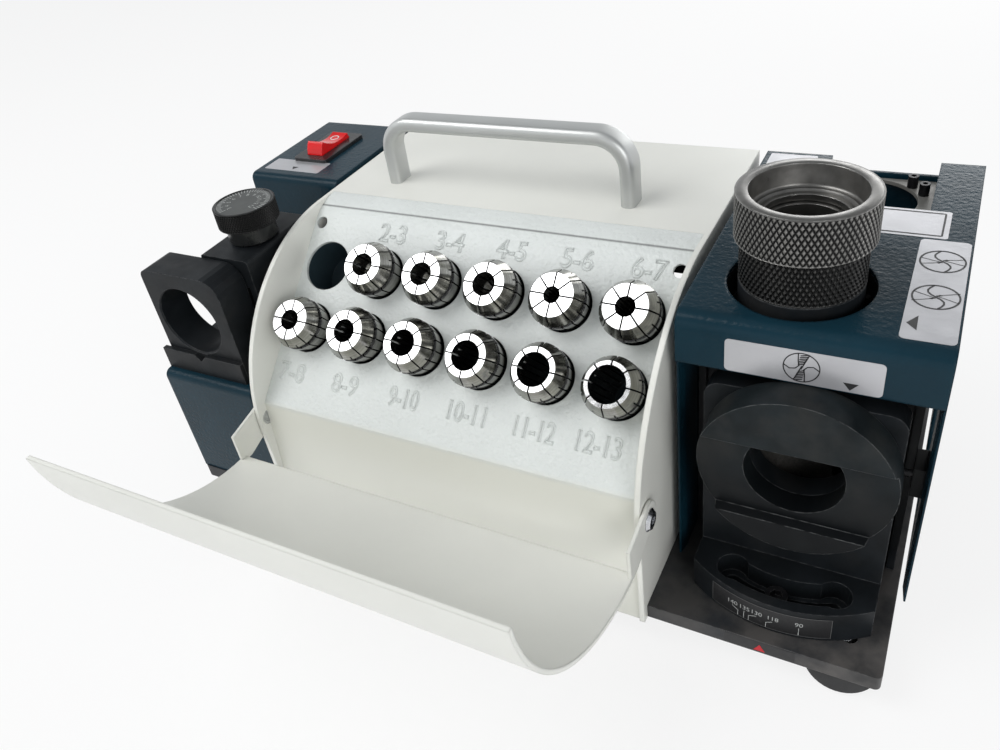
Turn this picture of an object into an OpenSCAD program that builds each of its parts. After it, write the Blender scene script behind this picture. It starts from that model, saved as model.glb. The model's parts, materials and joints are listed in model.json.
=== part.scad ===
// Bench drill bit sharpener with a collet tray, a setting gauge, a point-angle station and a drill chuck.
// X runs to the right, Y to the back and Z up. The machine stands on Z = 0 and is centred on X = 0.

/* [Housings] */
// Height of the three flat tops above the floor
body_top = 123.7; // [121:0.1:130]
// Distance of the rear panels behind the origin
rear_y = 113; // [110:0.5:122]
// Width of the left housing
left_w = 48; // [46:0.2:56]
// Width of the cream centre cover
cover_w = 163; // [160:0.5:176]
// Width of the right housing over its side panel
right_w = 76.4; // [75:0.2:84]
// Gap between the centre cover and each housing
unit_gap = 3.2; // [3:0.1:4]
// Sheet thickness of the blue housings
sheet = 1.5; // [1:0.1:2]
// Bend radius of the blue housings
bend_r = 3; // [2.2:0.1:4]

/* [Base] */
// Height of the rubber feet
foot_h = 9; // [7:0.5:14]
// Radius of the rubber feet
foot_r = 12.5; // [10:0.5:14]
// Distance from a foot's centre to the plate's edges
foot_inset = 13; // [12.6:0.2:20]
// Thickness of the base plate
plate_t = 6; // [5:0.5:8]
// Distance of the plate's front edge before the origin
plate_front = 32; // [30:0.5:34]
// Setback of the plate's right edge from the side panel
plate_setback = 2.5; // [1:0.5:5]

/* [Centre cover] */
// Distance of the flanges' front edge before the origin
cover_front = 34.9; // [34:0.1:37]
// Radius of the flanges' curved front
cover_r = 68.5; // [66:0.5:70]
// Thickness of the side flanges
flange_t = 2; // [1.5:0.1:2.4]
// Thickness of the top and rear sheet
cover_t = 1.5; // [1:0.1:2]
// Number of vent slots in the rear wall
vent_count = 9; // [5:1:11]
// Length of each vent slot
vent_l = 38; // [25:1:45]
// Width of each vent slot
vent_w = 5; // [4:0.5:6]

/* [Collet tray] */
// Slope of the tray
tray_angle = 42.8; // [41:0.1:44]
// Setback of the tray's lower crease behind the flanges' front
crease_setback = 5.1; // [4:0.1:6]
// Height of the tray's lower crease
crease_z = 64.9; // [62:0.1:66]
// Thickness of the tray sheet
tray_t = 1.3; // [1:0.1:1.5]
// Bend radius where the tray meets the top
tray_bend_r = 23; // [18:0.5:25]
// Distance between collet columns
collet_pitch = 26.4; // [25:0.1:26.8]
// Shift of the collet columns to the left of the tray's middle
column_shift = 1.4; // [0:0.1:1.4]
// Distance of the lower row from the crease, along the slope
lower_row = 33.7; // [32:0.1:35]
// Distance between the two rows, along the slope
row_pitch = 26.2; // [25.5:0.1:27]
// Radius of the pockets' mouths
pocket_r = 10.2; // [10:0.05:10.4]
// Depth of the pockets below the tray's face
pocket_depth = 17.9; // [16:0.1:19]
// Outer radius of the cups under the tray
cup_r = 11.4; // [11:0.1:11.6]
// Radius of the flange that fixes each cup to the tray's underside
cup_flange_r = 12; // [11.8:0.1:12]
// Radius of the two drain holes beside the flanges
drain_r = 2.5; // [1.5:0.1:3]

/* [Collets] */
// Length of a collet
collet_l = 31.5; // [30:0.1:32]
// Largest radius of a collet
collet_r = 10.5; // [10:0.05:10.8]
// Radius of the flat nose face
nose_r = 7.9; // [7.6:0.05:8.5]
// Length of the nose cone
nose_l = 4.5; // [4:0.1:5]
// Width of the extraction groove
groove_w = 2.2; // [1.5:0.1:2.5]
// Depth of the extraction groove
groove_depth = 1.3; // [0.8:0.1:1.6]
// Half angle of the rear taper
taper_angle = 8; // [7:0.1:8.2]
// Width of the slits
slit_w = 0.55; // [0.4:0.05:0.6]
// Length of collet left whole at the end of each slit
slit_web = 3.4; // [2.5:0.1:4.4]
// Radius of the relieved mouth of the small collets
relief_r = 4.4; // [3.5:0.1:5]

/* [Lid] */
// Clearance between the flanges and the closed lid
lid_clear = 2.8; // [2:0.1:4]
// Thickness of the lid sheet
lid_t = 1.5; // [1:0.1:2]
// Angle through which the lid closes
lid_swing = 106.4; // [100:0.2:108]
// Angle of the closed lid's lower edge round the flanges' centre
lid_low_angle = 163.6; // [160:0.2:165]
// Angle of the closed lid's upper edge round the flanges' centre
lid_high_angle = 79.7; // [79:0.2:86]
// Thickness of the lid's ears
ear_t = 1.3; // [1:0.1:1.5]
// Gap between each ear and its flange
ear_gap = 0.3; // [0.2:0.05:0.4]
// Radius of the ears' rounded ends
ear_r = 6.5; // [5.5:0.1:7]
// Height of the ears' lower edge at the lid, below the pivot
ear_drop = 10.7; // [10:0.1:11]
// Setback of the pivot behind the flanges' front
pivot_setback = 4.7; // [4.5:0.1:6]
// Height of the pivot above the flanges' centre
pivot_rise = 2.7; // [2:0.1:3.5]

/* [Handle] */
// Outer width of the handle
handle_w = 109.3; // [100:0.5:120]
// Height of the handle above the cover
handle_h = 28.9; // [26:0.1:36]
// Depth of the handle's bar
handle_d = 10.4; // [9:0.1:12]
// Thickness of the handle's bar
handle_t = 5.8; // [5:0.1:7]
// Outer radius of the handle's bends
handle_r = 15; // [10:0.5:18]
// Shift of the handle to the left of the cover's middle
handle_shift = 4.6; // [0:0.1:10]
// Distance of the handle's front face behind the origin
handle_y = 54.6; // [53:0.1:70]

/* [Gauge] */
// Distance of the left housing's lower front face before the origin
left_front = 31.4; // [30:0.1:31.8]
// Distance of the left housing's upper front face behind the origin
left_step_y = 50; // [48:0.5:60]
// Height of the left housing's lower top
left_step_z = 69.6; // [66:0.2:72]
// Thickness of the gauge bracket's foot
bracket_t = 3; // [2.5:0.1:4]
// Height of the bracket's front lip
bracket_lip_h = 9.9; // [8:0.1:11]
// Width of the front block
block_w = 40.5; // [38:0.5:41]
// Depth of the front block
block_d = 14.9; // [12:0.1:16]
// Height of the front block's top above the lower top of the housing
block_h = 47.9; // [46:0.1:49]
// Height of the gauge hole above the lower top of the housing
gauge_hole_h = 25.8; // [25:0.1:26.6]
// Radius of the gauge hole and of the point-angle hole
hole_r = 15.25; // [15:0.05:15.5]
// Width of the rear block
rear_block_w = 24.5; // [23:0.5:25]
// Depth of the rear block
rear_block_d = 39.5; // [36:0.5:42]
// Height of the jaw's slot
jaw_slot_h = 21.6; // [20:0.1:22]
// Wall of the rear block behind the jaw's slot
jaw_slot_wall = 3; // [2.8:0.1:3.2]
// Clearance round the sliding jaw
jaw_clear = 0.3; // [0.25:0.05:0.4]
// Travel of the jaw
jaw_travel = 5; // [4:0.1:5.2]
// Angle through which the dial turns for the whole travel
dial_turn = 270; // [240:5:270]
// Radius of the dial knob
dial_r = 12.5; // [11:0.1:13]
// Height of the dial knob's knurled rim
dial_h = 8.5; // [7:0.1:10]
// Radius of the dial's neck
dial_neck_r = 10; // [8:0.1:10.5]
// Height of the dial's neck
dial_neck_h = 7; // [5:0.1:8]
// Radius of the dial's shaft
dial_shaft_r = 3; // [2.5:0.1:3]

/* [Switch] */
// Width of the switch bezel
switch_w = 18.6; // [17:0.1:22]
// Length of the switch bezel
switch_l = 30.6; // [28:0.1:31]
// Width of the rocker
rocker_w = 8.5; // [7:0.1:11]
// Tilt of the rocker from one side to the other
rocker_turn = 20; // [16:1:22]

/* [Right housing] */
// Distance of the fascia before the origin
fascia_front = 6.4; // [5.8:0.1:6.5]
// Height of the fascia
fascia_h = 17.7; // [16:0.1:17.7]
// Radius of the hole in the top
top_hole_r = 22; // [21.6:0.1:23]
// Distance of the top hole's centre from the housing's left side
top_hole_x = 31.1; // [30:0.1:32]
// Distance of the top hole's centre behind the origin
top_hole_y = 21.4; // [21:0.1:22.4]
// Width of the rear recess
recess_w = 37.5; // [34:0.5:40]
// Distance of the rear recess from the housing's right side
recess_right = 14.4; // [12:0.2:16]
// Length of the rear recess
recess_l = 38; // [34:0.5:40]
// Depth of the guard plate below the top
guard_depth = 6.3; // [5:0.1:10]
// Radius of the hole in the guard plate
guard_hole_r = 17; // [12:0.5:17]

/* [Point-angle station] */
// Distance of the station's pivot to the right of the housing's middle
station_shift = 0.9; // [0:0.1:1.4]
// Distance of the station's pivot behind the origin
station_y = 22.5; // [22:0.1:23]
// Gap between the carriage and the housing's left side
carriage_left_gap = 8.9; // [8:0.1:10]
// Gap between the carriage and the side panel
carriage_right_gap = 6.5; // [6:0.1:8]
// Radius of the carriage's curved front, from the pivot
carriage_r = 49.1; // [48:0.1:49.4]
// Thickness of the carriage's foot
carriage_foot_h = 13; // [11:0.1:14]
// Height of the carriage's upright plate above the base plate
carriage_h = 84.7; // [82:0.1:86]
// Distance of the upright plate's front face before the origin
carriage_front = 5.4; // [5:0.1:5.8]
// Thickness of the upright plate
carriage_t = 8; // [6:0.1:8]
// Swing of the carriage to the left, from 118 to 90 degrees of point angle
swing_left = 14; // [10:0.5:14]
// Swing of the carriage to the right, from 118 to 140 degrees of point angle
swing_right = 11; // [8:0.5:11]
// Radius of the cam disc
disc_r = 30.2; // [28:0.1:30.2]
// Thickness of the cam disc
disc_t = 11; // [9:0.1:12]
// Depth of the channel across the cam disc
channel_depth = 3; // [2:0.1:4]
// Height of the channel's upper edge above the disc's centre
channel_up = 8.6; // [8:0.1:10]
// Depth of the channel's lower edge below the disc's centre
channel_down = 18.5; // [17:0.1:20]
// Width of the bevel along the channel's upper edge
channel_bevel = 2.2; // [1:0.1:3]
// Height of the disc's centre above the base plate
disc_z = 60.5; // [59:0.1:60.5]
// Middle radius of the curved slot
slot_r = 41; // [40.4:0.1:41.2]
// Half width of the curved slot's upper part
slot_half_w = 4.4; // [4:0.1:4.6]
// Radius of the curved slot's wide ends
slot_end_r = 5.4; // [4.6:0.1:5.6]
// Half angle of the curved slot
slot_angle = 24; // [23:0.5:25]

/* [Chuck] */
// Radius of the chuck's lower body
chuck_r = 18.7; // [18:0.1:19]
// Radius of the chuck's cap
cap_r = 20.5; // [19.5:0.1:21]
// Height of the chuck's cap
cap_h = 14.8; // [14:0.1:18]
// Height of the cap's lower edge above the housing's top
cap_lift = 16.7; // [12:0.1:18]
// Radius of the cap's mouth
cap_mouth_r = 16.6; // [15:0.1:17.4]
// Depth of the socket's floor below the housing's top
socket_depth = 11.7; // [10:0.1:13]
// Length of the chuck's nose below the socket's floor
chuck_nose_l = 18; // [14:0.5:18]

/* [Motor and wheel] */
// Distance of the motor's axis behind the origin
motor_y = 43; // [42.8:0.1:43.6]
// Height of the motor's axis above the base plate
motor_h = 38; // [37:0.1:38.6]
// Radius of the motor
motor_r = 31.5; // [28:0.5:32]
// Length of the motor
motor_l = 110; // [90:1:120]
// Radius of the motor's shaft
shaft_r = 6; // [5:0.5:6]
// Largest radius of the grinding wheel
wheel_r = 36; // [34:0.5:36]
// Thickness of the grinding wheel
wheel_t = 22.6; // [20:0.2:23]
// Thickness of the wheel's cylindrical rim
wheel_rim_t = 6; // [4:0.5:8]
// Inward slope of the wheel's grinding face, radius lost for each millimetre
wheel_slope = 0.6; // [0.5:0.05:0.7]

/* [Hidden] */
$fn = 64;
run_fit = 0.05;     // radial clearance of pins, shafts and screws that turn or slide
gap = 0.3;          // clearance between curved faces that pass each other
over = 1;           // how far a cutting shape runs past the face it cuts
screw_r = 2.5;      // shank radius of the main screws
screw_head_r = 4.25;
screw_head_h = 3;
small_screw_r = 2;  // shank radius of the small screws
small_head_r = 3.6;
low_head_h = 1.2;   // flat domed heads of the lid's pivot screws
pivot_nut_r = 3.2;  // nuts pressed into the flanges for these screws

// Places along X
machine_w = left_w + cover_w + right_w + 2 * unit_gap;
left_x = -machine_w / 2;
left_x1 = left_x + left_w;
cover_x = left_x1 + unit_gap;
cover_x1 = cover_x + cover_w;
right_x = cover_x1 + unit_gap;
right_x1 = right_x + right_w;
cover_mid = (cover_x + cover_x1) / 2;
tray_x = cover_x + flange_t;
tray_x1 = cover_x1 - flange_t;

// Heights
plate_z = foot_h;
floor_z = foot_h + plate_t;
plate_x1 = right_x1 - plate_setback;
foot_places = [
    for (x = [left_x + foot_inset, plate_x1 - foot_inset], y = [-plate_front + foot_inset, rear_y - foot_inset])
        [x, y]
];

// Centre of the flanges' curved front, and the tray's lines in the Y-Z plane
arc_y = cover_r - cover_front;
arc_z = body_top - cover_r;
crease = [crease_setback - cover_front, crease_z];
slope_dir = [cos(tray_angle), sin(tray_angle)];
slope_up = [-sin(tray_angle), cos(tray_angle)];
slope_run = (body_top - crease_z) / sin(tray_angle);
bend_tangent = tray_bend_r * tan(tray_angle / 2);
tray_end_y = crease[0] + slope_run * cos(tray_angle) + bend_tangent;
apron_foot = [1 - cover_front, plate_z];
collet_x0 = (tray_x + tray_x1) / 2 - column_shift - 2.5 * collet_pitch;
collet_proud = collet_l - pocket_depth;

// Lid
pivot = [pivot_setback - cover_front, arc_z + pivot_rise];
lid_r = cover_r + lid_clear;
ear_out = ear_gap + ear_t;
lid_x = cover_x - ear_out;
lid_x1 = cover_x1 + ear_out;

// Handle
handle_x = cover_mid - handle_shift - handle_w / 2;
handle_legs = [handle_x + handle_t / 2, handle_x + handle_w - handle_t / 2];
handle_mid_y = handle_y + handle_d / 2;

// Gauge
block_x = left_x + 2.9;
block_y = -left_front + 6;
gauge_hole = [block_x + 18.3, left_step_z + gauge_hole_h];
block_top = left_step_z + block_h;
rear_block_x = gauge_hole[0] + 1.7;
rear_block_y = block_y + block_d + 0.5;
rear_block_top = block_top + 1;
dial_place = [rear_block_x + 13, rear_block_y + 18.5];
jaw_h = jaw_slot_h - 2 * jaw_clear;
jaw_slot_x1 = rear_block_x + rear_block_w - jaw_slot_wall;
jaw_l = jaw_slot_x1 - rear_block_x - jaw_travel - 0.5;
cam_far = 8;                          // cam radius when the jaw is closed
cam_near = cam_far - jaw_travel;      // cam radius when the jaw is open
cam_h = 8;

// Cord gland
gland_place = [left_x + 24, floor_z + 22];
gland_neck_r = 7;
lid_edge_gain = 0.42;                 // the lid's foremost edge stays this far inside its full curve

// Switch
switch_mid = [left_x + 21.9, left_step_y + 31.5];
switch_flange_h = 1.6;
rocker_r = switch_l / 2 - 4.5;

// Right housing
fascia_z = body_top - fascia_h;
top_hole = [right_x + top_hole_x, top_hole_y];
recess_x1 = right_x1 - recess_right;
recess_x = recess_x1 - recess_w;
recess_y = rear_y - recess_l;
guard_t = 1.5;
guard_z = body_top - guard_depth;
frame_x1 = right_x1 - 4.9;            // outer face of the right inner frame
frame_t = 2.6;
frame_front = 13.5;                   // front edge of both inner frames, behind the swinging carriage
frame_top = guard_z - guard_t;
panel_x = right_x1 - sheet;
panel_low = foot_h + 15;              // lower edge of the side panel
edge_left = 0.6;                      // sheet left at the bevelled inner edges beside the station
edge_slope = 4.6;                     // length of those bevels along the walls
panel_window = [[20, floor_z + 17], [70, floor_z + 83]];
panel_screw_front = 14.5;
panel_screw_back = 18;                // in front of the rear panel
panel_screw_low = 47;
panel_screw_high = 88;
shroud_y = 16;
shroud_band = 3;                      // how far the shroud rises above the wheel
post_r = 1.8;
post_stem_r = 1.2;

// Station
station = [right_x + right_w / 2 + station_shift, station_y];
carriage_z = floor_z + 0.1;
carriage_x = right_x + carriage_left_gap;
carriage_x1 = panel_x - carriage_right_gap;
carriage_top = floor_z + carriage_h;
disc_mid = [station[0], floor_z + disc_z];
lock_angle = -1.7;
slot_floor = 5;                       // thickness of foot left under the slot's upper part
arm_t = 3.4;
pin_r = 4;

// Chuck
socket_z = body_top - socket_depth;
cap_z = body_top + cap_lift;
cap_top = cap_z + cap_h;
socket_wall = 2;
socket_chamfer = 1.2;
socket_floor_t = 7;

// Motor
motor_z = floor_z + motor_h;
motor_x1 = cover_x1 - 17;
motor_x = motor_x1 - motor_l;
bearing_r = 14;
bearing_w = 8;
rotor_r = 18;
cap_plate_t = 10;
wheel_x = right_x + 24.5;
hub_t = 5;
cradle_w = 64;
cradle_end = 12;                      // how far the cradle stays inside the motor's ends
cradle_t = 3;
saddle_t = 4;
saddle_drop = 8;                      // height of the motor's axis above the saddles
cradle_screw_end = 21.5;              // places of the cradle's screws, from the motor's ends and its axis
cradle_screw_y = 26;

// ---- Helpers ----

function collet_name(low) = str("collet_", low, "_", low + 1);
function unit(v) = v / norm(v);
function polar(centre, r, a) = centre + r * [cos(a), sin(a)];
function arc(centre, r, from, to, steps) = [for (k = [0:steps]) polar(centre, r, from + (to - from) * k / steps)];
function short_turn(a) = a > 180 ? a - 360 : a < -180 ? a + 360 : a;

// The outline with each corner rounded by the radius given for it
function rounded(outline, radii, steps = 5) = [
    for (i = [0:len(outline) - 1])
        let (
            corner = outline[i],
            u = unit(outline[(i + len(outline) - 1) % len(outline)] - corner),
            v = unit(outline[(i + 1) % len(outline)] - corner),
            half = acos(u * v) / 2,
            r = is_list(radii) ? radii[i] : radii,
            centre = corner + unit(u + v) * r / sin(half),
            first = corner + u * r / tan(half) - centre,
            last = corner + v * r / tan(half) - centre,
            from = atan2(first[1], first[0]),
            turn = short_turn(atan2(last[1], last[0]) - from)
        )
        each (r > 0 ? arc(centre, r, from, from + turn, steps) : [corner])
];
function box_outline(a, b) = [a, [b[0], a[1]], b, [a[0], b[1]]];

// A Y-Z outline carried along X, an X-Z outline carried along Y, and an X-Y outline carried up
module along_x(x, x1) {
    translate([x, 0, 0]) rotate([90, 0, 90]) linear_extrude(x1 - x) children();
}
module along_y(y, y1) {
    translate([0, y1, 0]) rotate([90, 0, 0]) linear_extrude(y1 - y) children();
}
module upwards(z, z1) {
    translate([0, 0, z]) linear_extrude(z1 - z) children();
}
module rod_x(x, x1, yz, r) {
    translate([x, yz[0], yz[1]]) rotate([0, 90, 0]) cylinder(r = r, h = x1 - x);
}
module rod_y(y, y1, xz, r) {
    translate([xz[0], y, xz[1]]) rotate([-90, 0, 0]) cylinder(r = r, h = y1 - y);
}
module rod_z(z, z1, xy, r) {
    translate([xy[0], xy[1], z]) cylinder(r = r, h = z1 - z);
}
// Places a child on the tray: s up the slope from the crease, Z square to the tray
module on_tray(x, s) {
    translate([x, crease[0] + s * slope_dir[0], crease[1] + s * slope_dir[1]]) rotate([tray_angle, 0, 0]) children();
}
// Turns the closed lid open about its pivot
module swung_open() {
    translate([0, pivot[0], pivot[1]]) rotate([lid_swing, 0, 0]) translate([0, -pivot[0], -pivot[1]]) children();
}
// A socket head screw that points down, with the underside of its head at Z = 0
module socket_screw(r, head_r, head_h, shank_l) {
    difference() {
        union() {
            cylinder(r = head_r, h = head_h);
            translate([0, 0, -shank_l]) cylinder(r = r, h = shank_l + head_h / 2);
        }
        translate([0, 0, head_h * 0.4]) cylinder(r = head_r * 0.6, h = head_h, $fn = 6);
    }
}

// ---- Base ----

module base_plate() {
    color("#2b2d2f")
    difference() {
        upwards(plate_z, floor_z)
            polygon(rounded(box_outline([left_x, -plate_front], [plate_x1, rear_y]), 2));
        for (p = foot_places) rod_z(plate_z - over, floor_z + over, p, screw_r + run_fit);
        for (p = cradle_screw_places()) rod_z(plate_z - over, floor_z + over, p, screw_r + run_fit);
        rod_z(plate_z - over, floor_z + over, station, pin_r + run_fit);
        rod_z(plate_z - over, floor_z + over, lock_place(), screw_r + run_fit);
        rod_z(floor_z - 3, floor_z + over, [plate_x1 - 11.6, -plate_front + 12.5], screw_r);
    }
}

module feet() {
    chamfer = 0.8;
    color("#1c1c1c")
    for (p = foot_places)
        translate([p[0], p[1], 0])
        difference() {
            union() {
                cylinder(r1 = foot_r - chamfer, r2 = foot_r, h = chamfer);
                translate([0, 0, chamfer]) cylinder(r = foot_r, h = foot_h - chamfer);
            }
            translate([0, 0, -over]) cylinder(r = screw_r + run_fit, h = foot_h + 2 * over);
            translate([0, 0, -over]) cylinder(r = screw_head_r + 0.5, h = foot_h - 4 + over);
        }
}

module foot_screws() {
    color("#8f9294")
    for (p = foot_places)
        translate([p[0], p[1], foot_h - 4]) mirror([0, 0, 1])
            socket_screw(screw_r, screw_head_r, screw_head_h, 4 + plate_t);
}

// ---- Centre cover, tray and rack ----

module flange_outline() {
    difference() {
        polygon([
            [-cover_front, plate_z], [-plate_front, plate_z], [-plate_front, floor_z], [rear_y, floor_z],
            [rear_y, body_top], [-cover_front, body_top]
        ]);
        difference() {
            translate([-cover_front - over, arc_z]) square([cover_r + over, cover_r + over]);
            translate([arc_y, arc_z]) circle(r = cover_r, $fn = 180);
        }
    }
}

module centre_cover() {
    vent_pitch = 2 * vent_w;
    color("#eceae0")
    difference() {
        along_x(cover_x, cover_x1) flange_outline();
        along_x(tray_x, tray_x1)
            polygon([
                [-cover_front - over, plate_z - over], [rear_y - cover_t, plate_z - over],
                [rear_y - cover_t, body_top - cover_t], [tray_end_y, body_top - cover_t],
                [tray_end_y, body_top + over], [-cover_front - over, body_top + over]
            ]);
        rod_x(cover_x - over, cover_x1 + over, pivot, pivot_nut_r);
        rod_x(tray_x1 - over, cover_x1 + over, [motor_y, motor_z], shaft_r + 3);
        for (x = handle_legs)
            rod_z(body_top - cover_t - over, body_top + over, [x, handle_mid_y], small_screw_r + run_fit);
        for (side = [-1, 1], i = [0:vent_count - 1])
            translate([cover_mid + side * 40, 0, floor_z + 12 + i * vent_pitch])
            along_y(rear_y - cover_t - over, rear_y + over)
                polygon(rounded(box_outline([-vent_l / 2, 0], [vent_l / 2, vent_w]), vent_w * 0.45, 4));
    }
}

module tray_outline() {
    apron_dir = unit(crease - apron_foot);
    apron_in = [apron_dir[1], -apron_dir[0]];
    slope_in = -slope_up;
    inner_crease = crease + tray_t * (apron_in + slope_in) / (1 + apron_in * slope_in);
    bend_mid = [tray_end_y, body_top - tray_bend_r];
    polygon(concat(
        [apron_foot, crease],
        arc(bend_mid, tray_bend_r, 90 + tray_angle, 90, 12),
        arc(bend_mid, tray_bend_r - tray_t, 90, 90 + tray_angle, 12),
        [inner_crease, apron_foot + apron_in * tray_t - apron_dir * (apron_in * tray_t)[1]]
    ));
}

module pocket_places() {
    for (row = [0, 1], i = [0:5]) on_tray(collet_x0 + i * collet_pitch, lower_row + row * row_pitch) children();
}

module collet_tray() {
    color("#f1f2ee")
    difference() {
        along_x(tray_x, tray_x1) tray_outline();
        pocket_places() translate([0, 0, -2 * tray_t]) cylinder(r = pocket_r, h = 4 * tray_t);
        for (x = [tray_x + 3.4, tray_x1 - 3.4])
            on_tray(x, slope_run - bend_tangent) translate([0, 0, -2 * tray_t]) cylinder(r = drain_r, h = 4 * tray_t);
    }
}

// Twelve cups, each fixed by its flange to the tray's underside
module collet_rack() {
    wall_top = -tray_t;
    wall_t = 2;
    color("#3c4a52")
    pocket_places()
        difference() {
            union() {
                translate([0, 0, wall_top - wall_t]) cylinder(r = cup_flange_r, h = wall_t);
                translate([0, 0, -pocket_depth - wall_t]) cylinder(r = cup_r, h = pocket_depth + wall_t + wall_top);
            }
            translate([0, 0, -pocket_depth]) cylinder(r = pocket_r, h = pocket_depth);
        }
}

// ---- Collets ----

// Slits through a collet, in pairs that share one cut across its axis
module slits(count, first, low_z) {
    for (i = [0:count / 2 - 1])
        rotate([0, 0, first + 360 / count * i])
        translate([-collet_r - over, -slit_w / 2, low_z])
        cube([2 * collet_r + 2 * over, slit_w, collet_l]);
}

// A spring collet from low to low + 1 mm, standing in its pocket. At rest its bore takes the larger drill.
// Slits enter from both ends in turn, and the small collets have fewer of them from the rear.
module collet(low) {
    place = low - 1;
    upper = place < 6;
    column = upper ? place : place - 6;
    bore_r = (low + 1) / 2;
    small = low < 5;
    mouth_r = small ? relief_r : bore_r;
    shoulder = collet_l - nose_l;
    taper_top = shoulder - groove_w;
    rear_r = collet_r - taper_top * tan(taper_angle);
    nose_slits = 8;
    rear_slits = small ? 4 : 8;
    color("#b9bcbe")
    on_tray(collet_x0 + column * collet_pitch, lower_row + (upper ? row_pitch : 0))
    translate([0, 0, -pocket_depth])
    difference() {
        rotate_extrude()
            polygon([
                [bore_r, 0], [rear_r, 0], [collet_r, taper_top], [collet_r - groove_depth, taper_top],
                [collet_r - groove_depth, shoulder], [collet_r - 0.1, shoulder], [nose_r, collet_l],
                [mouth_r, collet_l], [mouth_r, collet_l - 9], [bore_r, collet_l - 9 - (mouth_r - bore_r)]
            ]);
        slits(nose_slits, 0, slit_web);
        slits(rear_slits, 180 / nose_slits, -slit_web);
    }
}

// ---- Lid ----

module lid() {
    edge = polar([arc_y, arc_z], lid_r, lid_low_angle) - pivot;
    open_edge = pivot + [
        edge[0] * cos(lid_swing) - edge[1] * sin(lid_swing), edge[0] * sin(lid_swing) + edge[1] * cos(lid_swing)
    ];
    reach = 2.5 * (lid_r + lid_t);
    open_turn = 360 + lid_high_angle - lid_low_angle;
    color("#eceae0")
    difference() {
        union() {
            swung_open()
                difference() {
                    rod_x(lid_x, lid_x1, [arc_y, arc_z], lid_r + lid_t, $fn = 180);
                    rod_x(lid_x - over, lid_x1 + over, [arc_y, arc_z], lid_r, $fn = 180);
                    along_x(lid_x - over, lid_x1 + over)
                        polygon(concat(
                            [[arc_y, arc_z]],
                            arc([arc_y, arc_z], reach, lid_low_angle, lid_low_angle + open_turn, 8)
                        ));
                }
            for (x = [lid_x, lid_x1 - ear_t])
                along_x(x, x + ear_t)
                    union() {
                        translate(pivot) circle(r = ear_r);
                        polygon([
                            [open_edge[0] - 2.5, pivot[1] - ear_drop], [open_edge[0] - 2.5, pivot[1] + 2.8],
                            [pivot[0], pivot[1] + ear_r], [pivot[0], pivot[1] - ear_r],
                            [open_edge[0] + 3, pivot[1] - ear_drop]
                        ]);
                    }
        }
        rod_x(lid_x - over, lid_x1 + over, pivot, small_screw_r + run_fit);
    }
}

module lid_pivot_screws() {
    shank_l = ear_out + flange_t;
    color("#c9ccce")
    for (side = [-1, 1])
        translate([side < 0 ? lid_x - 0.1 : lid_x1 + 0.1, pivot[0], pivot[1]]) rotate([0, side * 90, 0])
        difference() {
            union() {
                cylinder(r1 = small_head_r + 0.5, r2 = small_head_r - 0.6, h = low_head_h);
                translate([0, 0, -shank_l]) cylinder(r = small_screw_r, h = shank_l);
            }
            translate([0, 0, low_head_h * 0.4]) cylinder(r = 1.5, h = low_head_h, $fn = 6);
        }
}

module lid_pivot_nuts() {
    color("#8f9294")
    for (x = [cover_x, tray_x1])
        difference() {
            rod_x(x, x + flange_t, pivot, pivot_nut_r);
            rod_x(x - over, x + flange_t + over, pivot, small_screw_r + run_fit);
        }
}

// ---- Handle ----

// A block with rounded upper corners, centred on X = 0
module bow(w, h, r) {
    difference() {
        translate([-w / 2, 0]) square([w, h]);
        for (side = [0, 1])
            mirror([side, 0])
            translate([w / 2 - r, h - r])
            difference() {
                square(r + over);
                circle(r = r);
            }
    }
}

module handle() {
    color("#b9bcbd")
    difference() {
        along_y(handle_y, handle_y + handle_d)
            translate([handle_x + handle_w / 2, body_top])
            difference() {
                bow(handle_w, handle_h, handle_r);
                translate([0, -over]) bow(handle_w - 2 * handle_t, handle_h - handle_t + over, handle_r - handle_t);
            }
        for (x = handle_legs) rod_z(body_top - over, body_top + 9, [x, handle_mid_y], small_screw_r + run_fit);
    }
}

module handle_screws() {
    color("#8f9294")
    for (x = handle_legs)
        translate([x, handle_mid_y, body_top - cover_t]) mirror([0, 0, 1])
            socket_screw(small_screw_r, small_head_r, 2.4, cover_t + 8);
}

// ---- Left housing, switch and gland ----

module left_profile(inset) {
    outer = [
        [inset - left_front, floor_z - inset], [inset - left_front, left_step_z - inset],
        [left_step_y + inset, left_step_z - inset], [left_step_y + inset, body_top - inset],
        [rear_y - inset, body_top - inset], [rear_y - inset, floor_z - inset]
    ];
    r = bend_r - inset;
    polygon(rounded(outer, [0, r, 1 + inset, r, r, 0]));
}

module left_housing() {
    color("#1d3c4e")
    difference() {
        along_x(left_x, left_x1) left_profile(0);
        along_x(left_x + sheet, left_x1 - sheet) left_profile(sheet);
        translate([switch_mid[0] - switch_w / 2 + 1.3, switch_mid[1] - switch_l / 2 + 1.3, body_top - 2 * sheet])
            cube([switch_w - 2.6, switch_l - 2.6, 3 * sheet]);
        rod_y(rear_y - sheet - over, rear_y + over, gland_place, gland_neck_r + run_fit);
        for (p = gauge_screw_places())
            rod_z(left_step_z - sheet - over, left_step_z + over, p, small_screw_r + run_fit);
    }
}

// The gland reaches as far behind the origin as the open lid reaches before it
function gland_y1() =
    let (d = [arc_y, arc_z] - pivot)
    lid_r + lid_t - (pivot[0] + d[0] * cos(lid_swing) - d[1] * sin(lid_swing)) - lid_edge_gain;

module cord_gland() {
    neck_l = sheet + 6;
    color("#202224")
    difference() {
        union() {
            rod_y(rear_y, rear_y + 2.5, gland_place, 10);
            rod_y(rear_y + 2.5, gland_y1(), gland_place, 7.6);
            rod_y(rear_y - neck_l, rear_y, gland_place, gland_neck_r);
        }
        rod_y(rear_y - neck_l - over, gland_y1() + over, gland_place, 3.6);
    }
}

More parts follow.
